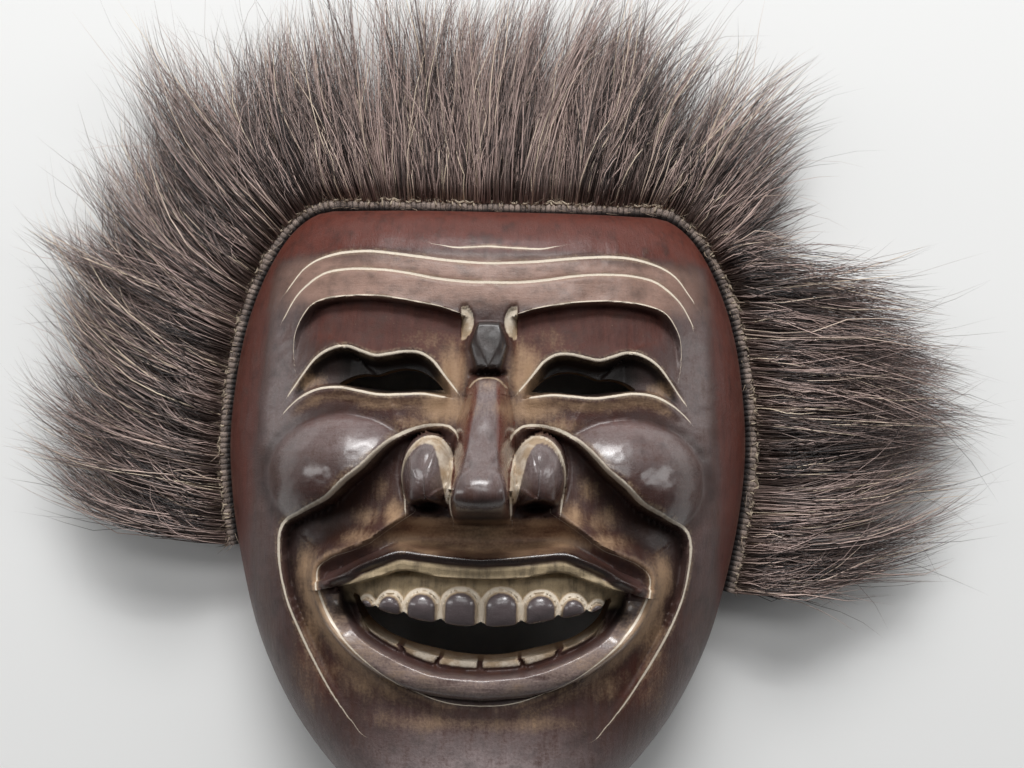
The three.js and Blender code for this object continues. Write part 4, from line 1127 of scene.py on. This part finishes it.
def tubes(paths, radii, sides, values, flatness=1.0):
    """Many closed tubes of one kind at once: paths is strands x points x 3, radii strands x points.
    Each ring stands across its path; the last point of each path is its tip."""
    strands, count, _ = paths.shape
    way = np.gradient(paths, axis=1)
    way /= np.linalg.norm(way, axis=2)[..., None] + 1e-12
    side = np.cross(way, (0.02, 0.01, 1.0))
    side /= np.linalg.norm(side, axis=2)[..., None] + 1e-12
    up = np.cross(side, way)
    turn = (np.arange(sides) + 0.25) / sides * 2 * math.pi
    body = slice(0, count - 1)
    ring = (paths[:, body, None] + radii[:, body, None, None]
            * (np.cos(turn)[:, None] * side[:, body, None]
               + flatness * np.sin(turn)[:, None] * up[:, body, None]))
    points = np.concatenate([ring.reshape(strands, -1, 3), paths[:, -1:]], axis=1)
    each = points.shape[1]
    number = np.arange((count - 1) * sides).reshape(count - 1, sides)
    after = np.roll(number, -1, axis=1)
    low, low_after, high, high_after = number[:-1], after[:-1], number[1:], after[1:]
    walls = np.vstack([np.stack([low, high_after, low_after], -1).reshape(-1, 3),
                       np.stack([low, high, high_after], -1).reshape(-1, 3)])
    tip = np.column_stack([number[-1], np.full(sides, each - 1), after[-1]])
    fan = np.arange(1, sides - 1)
    root = np.column_stack([np.zeros(sides - 2, int), fan, fan + 1])
    one = np.vstack([walls, tip, root])
    faces = (one[None] + (np.arange(strands) * each)[:, None, None]).reshape(-1, 3)
    runs = np.append(np.repeat(np.linspace(0, 1, count)[:-1], sides), 1.0)
    kept = np.column_stack([np.repeat(values, each), np.tile(runs, strands)])
    return points.reshape(-1, 3), faces, kept


thread_reach = band_diameter / 2 + thread_diameter * 0.3
thread_out = band_out + thread_reach * math.cos(thread_tilt)
ply_turn = length_along / (1.5 * mm)
wander = 0.35 * mm * np.sin(length_along / 0.0031) + 0.42 * mm * np.sin(
    length_along / (2 * loop_pitch) * 2 * math.pi + 1.2 * np.sin(length_along / 0.0117))
plies = []
for ply in (0, math.pi):
    swing = ply_offset * np.cos(ply_turn + ply)
    lift = ply_offset * np.sin(ply_turn + ply)
    run = np.column_stack([band_foot + band_outwards * (thread_out + wander + swing)[:, None],
                           band_height + thread_reach * math.sin(thread_tilt) - wander * 0.8 + lift])
    run = run[::3][None]
    plies.append(tubes(run, np.full(run.shape[:2], ply_radius), ply_sides, np.array([0.5])))

stitch_at = np.arange(0.004, band_length - 0.002, stitch_pitch)
stitch_at = stitch_at + rng.uniform(-0.3, 0.3, len(stitch_at)) * stitch_pitch
over = np.linspace(0, 1, stitch_points)
place_index = np.clip((stitch_at / band_length * band_steps).astype(int), 0, band_steps)
slant = rng.normal(0.3, 1.3, len(stitch_at)) * mm
angle = np.radians(15) + (np.radians(rng.uniform(45, 95, len(stitch_at)))[:, None] * over)
grip = band_diameter / 2 + 0.12 * mm
along_band = np.column_stack([band_outwards[:, 1], -band_outwards[:, 0]])[place_index]
stitch_run = (band_foot[place_index][:, None]
              + band_outwards[place_index][:, None] * (band_out + grip * np.cos(angle))[..., None]
              + along_band[:, None] * (slant[:, None] * (over - 0.2))[..., None])
stitch_run = np.concatenate([stitch_run, (band_height + grip * np.sin(angle))[..., None]], axis=2)
stitch_radius = 0.33 * thread_diameter * rng.uniform(0.7, 1.15, len(stitch_at))
stitches = tubes(stitch_run, np.repeat(stitch_radius[:, None], stitch_points, 1), stitch_sides,
                 rng.uniform(0, 1, len(stitch_at)))
points, faces, kept = joined([*plies, stitches])
thread = mesh_piece("stitched_thread", points, faces, {"shade": kept[:, 0]})
thread.data.shade_smooth()

thread_finish = Finish("waxed_yarn")
fray = thread_finish.noise(1.6, 3, 0.7)
soiled = thread_finish.noise(0.12, 2)
thread_dark, thread_light = (0.17, 0.125, 0.09), (0.52, 0.43, 0.32)
soiling = (thread_finish.value("shade") * 0.5 + fray * 0.4 + soiled * 0.5).ease(0.3, 1.0)
thread_colour = thread_finish.mix(soiling, thread_dark, thread_light)
thread_finish.wear(thread, Base_Color=thread_colour, Roughness=0.75,
                   Normal=thread_finish.bump(fray, 0.2 * mm, 0.5))
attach(thread, "root")
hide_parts("binding_thread")

# The fuzz: cut ends of the looped hair that stand up between the stitches, a few millimetres long.
# They are thin and stiff, dark to tan as the hair is, and most of them lean outwards.
fuzz_count = 1500
fuzz_points = 4
fuzz_sides = 3
fuzz_radius = 0.09 * mm
fuzz_dark, fuzz_light = (0.05, 0.035, 0.03), (0.4, 0.3, 0.22)
rng = np.random.default_rng(17)
fuzz_at = rng.integers(0, band_steps, fuzz_count)
fuzz_angle = np.radians(rng.uniform(-10, 120, fuzz_count))
fuzz_out = np.column_stack([band_outwards[fuzz_at] * np.cos(fuzz_angle)[:, None], np.sin(fuzz_angle)])
fuzz_aside = np.column_stack([band_outwards[fuzz_at][:, ::-1] * (1, -1), np.zeros(fuzz_count)])
fuzz_way = fuzz_out + fuzz_aside * rng.normal(0, 0.7, (fuzz_count, 1))
fuzz_length = rng.uniform(1.0, 4.2, (fuzz_count, 1)) * mm
over = np.linspace(0, 1, fuzz_points)
fuzz_bend = outward[fuzz_at] * rng.uniform(-0.2, 0.6, (fuzz_count, 1)) * fuzz_length
fuzz_run = (centres[fuzz_at] + fuzz_out * band_diameter * 0.44)[:, None] + (
    (fuzz_way * fuzz_length)[:, None] * over[:, None] + fuzz_bend[:, None] * over[:, None] ** 2)
points, faces, kept = tubes(fuzz_run, np.tile(fuzz_radius * (1 - 0.5 * over), (fuzz_count, 1)),
                            fuzz_sides, rng.uniform(0, 1, fuzz_count))
fuzz_piece = mesh_piece("band_fuzz", points, faces, {"shade": kept[:, 0]})
fuzz_finish = Finish("short_hair_ends")
fuzz_colour = fuzz_finish.mix(fuzz_finish.value("shade"), fuzz_dark, fuzz_light)
fuzz_finish.wear(fuzz_piece, Roughness=0.6, Base_Color=fuzz_colour)
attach(fuzz_piece, "root")

# The hair: coarse dark hair, root to tip as it grew, in locks of some hundred hairs that lean
# together towards their tips. It stands out from the band in seven bunches; a few hairs are pale.
longest_hair = 85 * mm
hair_lift = 4 * mm
hair_root = 0.19 * mm  # the radius of a hair at its root
locks_in_bunch = 7
wisps_in_bunch = 190
hairs_in_wisp = 15
stray_share = 0.18
pale_share = 0.09
pale_from = 0.9  # a shade above this is a pale hair
wisp_swing = 1.5 * mm
hair_curl = 0.9 * mm
hair_points = 7
hair_sides = 3
root_angle = [  # where the hair points, in degrees, along the band from its left end to its right
    (0, 177), (0.09, 171), (0.19, 160), (0.27, 142), (0.33, 118), (0.4, 96), (0.47, 91), (0.54, 87),
    (0.61, 78), (0.66, 58), (0.69, 36), (0.72, 3), (0.76, -6), (0.85, -4), (0.93, -1), (1, 3)]
tip_angle = [
    (0, 143), (0.09, 134), (0.19, 122), (0.27, 108), (0.33, 98), (0.4, 92), (0.47, 79), (0.54, 69),
    (0.61, 58), (0.66, 42), (0.69, 25), (0.72, 4), (0.76, 1), (0.85, 16), (0.93, 27), (1, 36)]
length_share = [
    (0, 0.76), (0.09, 0.86), (0.19, 0.94), (0.27, 0.96), (0.33, 0.98), (0.47, 1), (0.54, 0.98),
    (0.61, 0.93), (0.66, 0.8), (0.68, 0.5), (0.7, 0.42), (0.72, 0.8), (0.76, 0.98), (0.85, 0.95),
    (0.93, 0.86), (1, 0.76)]
bunches = [
    ("hair_left_cheek", 0, 0.13), ("hair_left_temple", 0.13, 0.26), ("hair_crown_left", 0.26, 0.4),
    ("hair_crown_middle", 0.4, 0.54), ("hair_crown_right", 0.54, 0.695),
    ("hair_right_temple", 0.696, 0.85), ("hair_right_cheek", 0.85, 1)]
past_box = 14 * mm  # how far single hairs may end outside the box of the solids
above_floor = 0.6 * mm
hair_low = np.array(cad_box[0]) - (past_box, past_box, -above_floor)
hair_high = np.array(cad_box[1]) + (past_box, past_box, 0)

hair_finish = Finish("coarse_hair")
shade = hair_finish.value("shade")
towards_tip = hair_finish.value("towards_tip")
hair_colour = hair_finish.mix(shade.ease(0, pale_from), (0.014, 0.009, 0.009), (0.6, 0.44, 0.39))
hair_colour = hair_finish.mix(towards_tip.ease(0.35, 1.0) * 0.4, hair_colour, (0.26, 0.19, 0.17))
# Painted light: paler brown near the roots, where the locks shade one another
hair_colour = hair_finish.mix(towards_tip.ease(0.3, 0.0) * 0.35, hair_colour, (0.2, 0.145, 0.12))
hair_colour = hair_finish.mix(shade.ease(pale_from, 1.0), hair_colour, (0.8, 0.66, 0.5))


def hair_path(s, length, lean_aside, start, bend_more):
    """The run of each hair: it leaves the band at its root angle and turns to its tip angle."""
    step = (np.arange(hair_points - 1) + 0.5) / (hair_points - 1)
    bend = step[None] ** 1.3 * bend_more[:, None]
    angle = along(root_angle, s)[:, None] * (1 - bend) + along(tip_angle, s)[:, None] * bend
    angle = np.radians(angle + lean_aside[:, None] * step)
    stride = (length / (hair_points - 1))[:, None]
    steps = np.stack([stride * np.cos(angle), stride * np.sin(angle)], -1)
    return start[:, None] + np.concatenate([np.zeros((len(s), 1, 2)), np.cumsum(steps, 1)], 1)


def root_at(share):
    """Where a hair comes out of the band, at a share of the band's run."""
    at = np.clip(share * band_steps, 0, band_steps).astype(int)
    return band_foot[at] + band_outwards[at] * (band_out + band_diameter * 0.25)


for order, (name, s_from, s_to) in enumerate(bunches):
    rng = np.random.default_rng(100 + order)
    t = np.linspace(0, 1, hair_points)
    lock_s = s_from + (s_to - s_from) * (np.arange(locks_in_bunch) + rng.uniform(
        0.0, 1.0, locks_in_bunch)) / locks_in_bunch
    lock_length = rng.uniform(0.8, 1.08, locks_in_bunch)
    lock_lean = rng.normal(0, 11, locks_in_bunch)
    lock_rise = rng.uniform(-0.6, 1.2, locks_in_bunch)

    # A wisp is a dozen hairs that cling together; it starts anywhere and drifts to a lock
    wisp_s = rng.uniform(s_from, s_to, wisps_in_bunch)
    lock = np.abs(wisp_s[:, None] + rng.normal(0, 0.012, (wisps_in_bunch, 1)) - lock_s).argmin(1)
    wisp_lean = 0.8 * lock_lean[lock] + rng.normal(0, 14, wisps_in_bunch)
    wisp_length = longest_hair * along(length_share, wisp_s) * lock_length[lock]
    wisp_length = wisp_length * (1.12 - 0.74 * rng.uniform(size=wisps_in_bunch) ** 1.15)
    wisp_bend = rng.normal(1, 0.3, wisps_in_bunch)
    wisp_line = hair_path(wisp_s, wisp_length, wisp_lean, root_at(wisp_s), wisp_bend)
    lock_line = hair_path(lock_s[lock], wisp_length, lock_lean[lock], root_at(lock_s[lock]),
                          np.ones(wisps_in_bunch))
    drift = rng.uniform(0.1, 0.95, (wisps_in_bunch, 1)) * ease(0.1, 1, t)
    wisp_line = wisp_line + (lock_line - wisp_line) * drift[..., None]
    way = wisp_line[:, -1] - wisp_line[:, 0]
    aside = np.column_stack([-way[:, 1], way[:, 0]]) / np.linalg.norm(way, axis=1)[:, None]
    swing = rng.normal(0, wisp_swing, (wisps_in_bunch, 1)) * np.sin(
        t * rng.uniform(2, 6, (wisps_in_bunch, 1)) + rng.uniform(0, 6, (wisps_in_bunch, 1)))
    wisp_line = wisp_line + aside[:, None] * (swing * ease(0, 0.6, t))[..., None]

    wisp = np.repeat(np.arange(wisps_in_bunch), hairs_in_wisp)
    count = len(wisp)
    stray = rng.uniform(size=count) < stray_share
    s = np.clip(wisp_s[wisp] + rng.normal(0, 0.0035, count), max(s_from - 0.004, 0.001),
                min(s_to + 0.004, 0.999))
    length = wisp_length[wisp] * np.where(stray, rng.uniform(0.5, 1.25, count),
                                          rng.uniform(0.78, 1.08, count))
    own = hair_path(s, length, wisp_lean[wisp] + rng.normal(0, 8, count)
                    + stray * rng.normal(0, 22, count), root_at(s), wisp_bend[wisp])
    cling = (rng.uniform(0.0, 0.75, count) * ~stray)[:, None] * ease(0.05, 0.9, t)
    flat = own + (wisp_line[wisp] - own) * cling[..., None]
    curl = (rng.normal(0, hair_curl, (count, 1)) * np.sin(
        t * rng.uniform(5, 11, (count, 1)) + rng.uniform(0, 6, (count, 1))) * ease(0, 0.4, t))
    flat = flat + aside[wisp][:, None] * curl[..., None]

    level = np.clip(rng.uniform(-1, 1, wisps_in_bunch)[wisp] + rng.normal(0, 0.2, count), -1.1, 1.1)
    level = level[:, None]
    half_thick = (3.0 + 2.6 * ease(0, 0.35, t) - 2.2 * ease(0.5, 1, t)) * mm
    droop = rng.uniform(0.05, 0.6, wisps_in_bunch)[wisp][:, None] * band_height * t ** 2
    z = (band_height + level * half_thick + hair_lift * np.sin(math.pi * t)
         + lock_rise[lock][wisp][:, None] * 1.8 * mm * t - droop
         + stray[:, None] * rng.normal(2 * mm, 3 * mm, (count, 1)) * t)
    run = np.concatenate([flat, z[..., None]], axis=2)
    root = run[:, :1]
    span = run - root
    room = np.where(span > 0, hair_high - root, root - hair_low)
    fit = np.min(np.clip(room[..., :2] / (np.abs(span[..., :2]) + 1e-9), 0, 1), axis=(1, 2))
    run = root + span * fit[:, None, None]
    run[..., 2] = np.maximum(run[..., 2], hair_low[2])

    thick = hair_root * rng.uniform(0.55, 1.2, count) * np.where(stray, 0.7, 1)
    # Shades from near black to brown, with painted light on the hairs over the crown and painted shade
    # on the hairs underneath
    shades = rng.uniform(-0.1, 0.4, wisps_in_bunch)[wisp] + 0.95 * rng.uniform(size=count) ** 2.2 - 0.1
    shades = np.clip(shades + 0.18 * bell((s - 0.47) / 0.2) - 0.09, 0, pale_from)
    shades = shades * np.where(level[:, 0] < -0.2, 0.6, 1)
    is_pale = rng.uniform(size=count) < pale_share
    shades = np.where(is_pale, rng.uniform(0.88, 1.0, count), shades)
    radii = (thick * np.where(shades > pale_from, 1.3, 1))[:, None] * (1 - 0.72 * t ** 1.3)
    points, faces, kept = tubes(run, radii, hair_sides, shades)
    bunch = mesh_piece(name + "_locks", points, faces,
                       {"shade": kept[:, 0], "towards_tip": kept[:, 1]})
    bunch.data.shade_smooth()
    hair_finish.wear(bunch, Base_Color=hair_colour, Roughness=0.42)
    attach(bunch, "root")
    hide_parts(name)
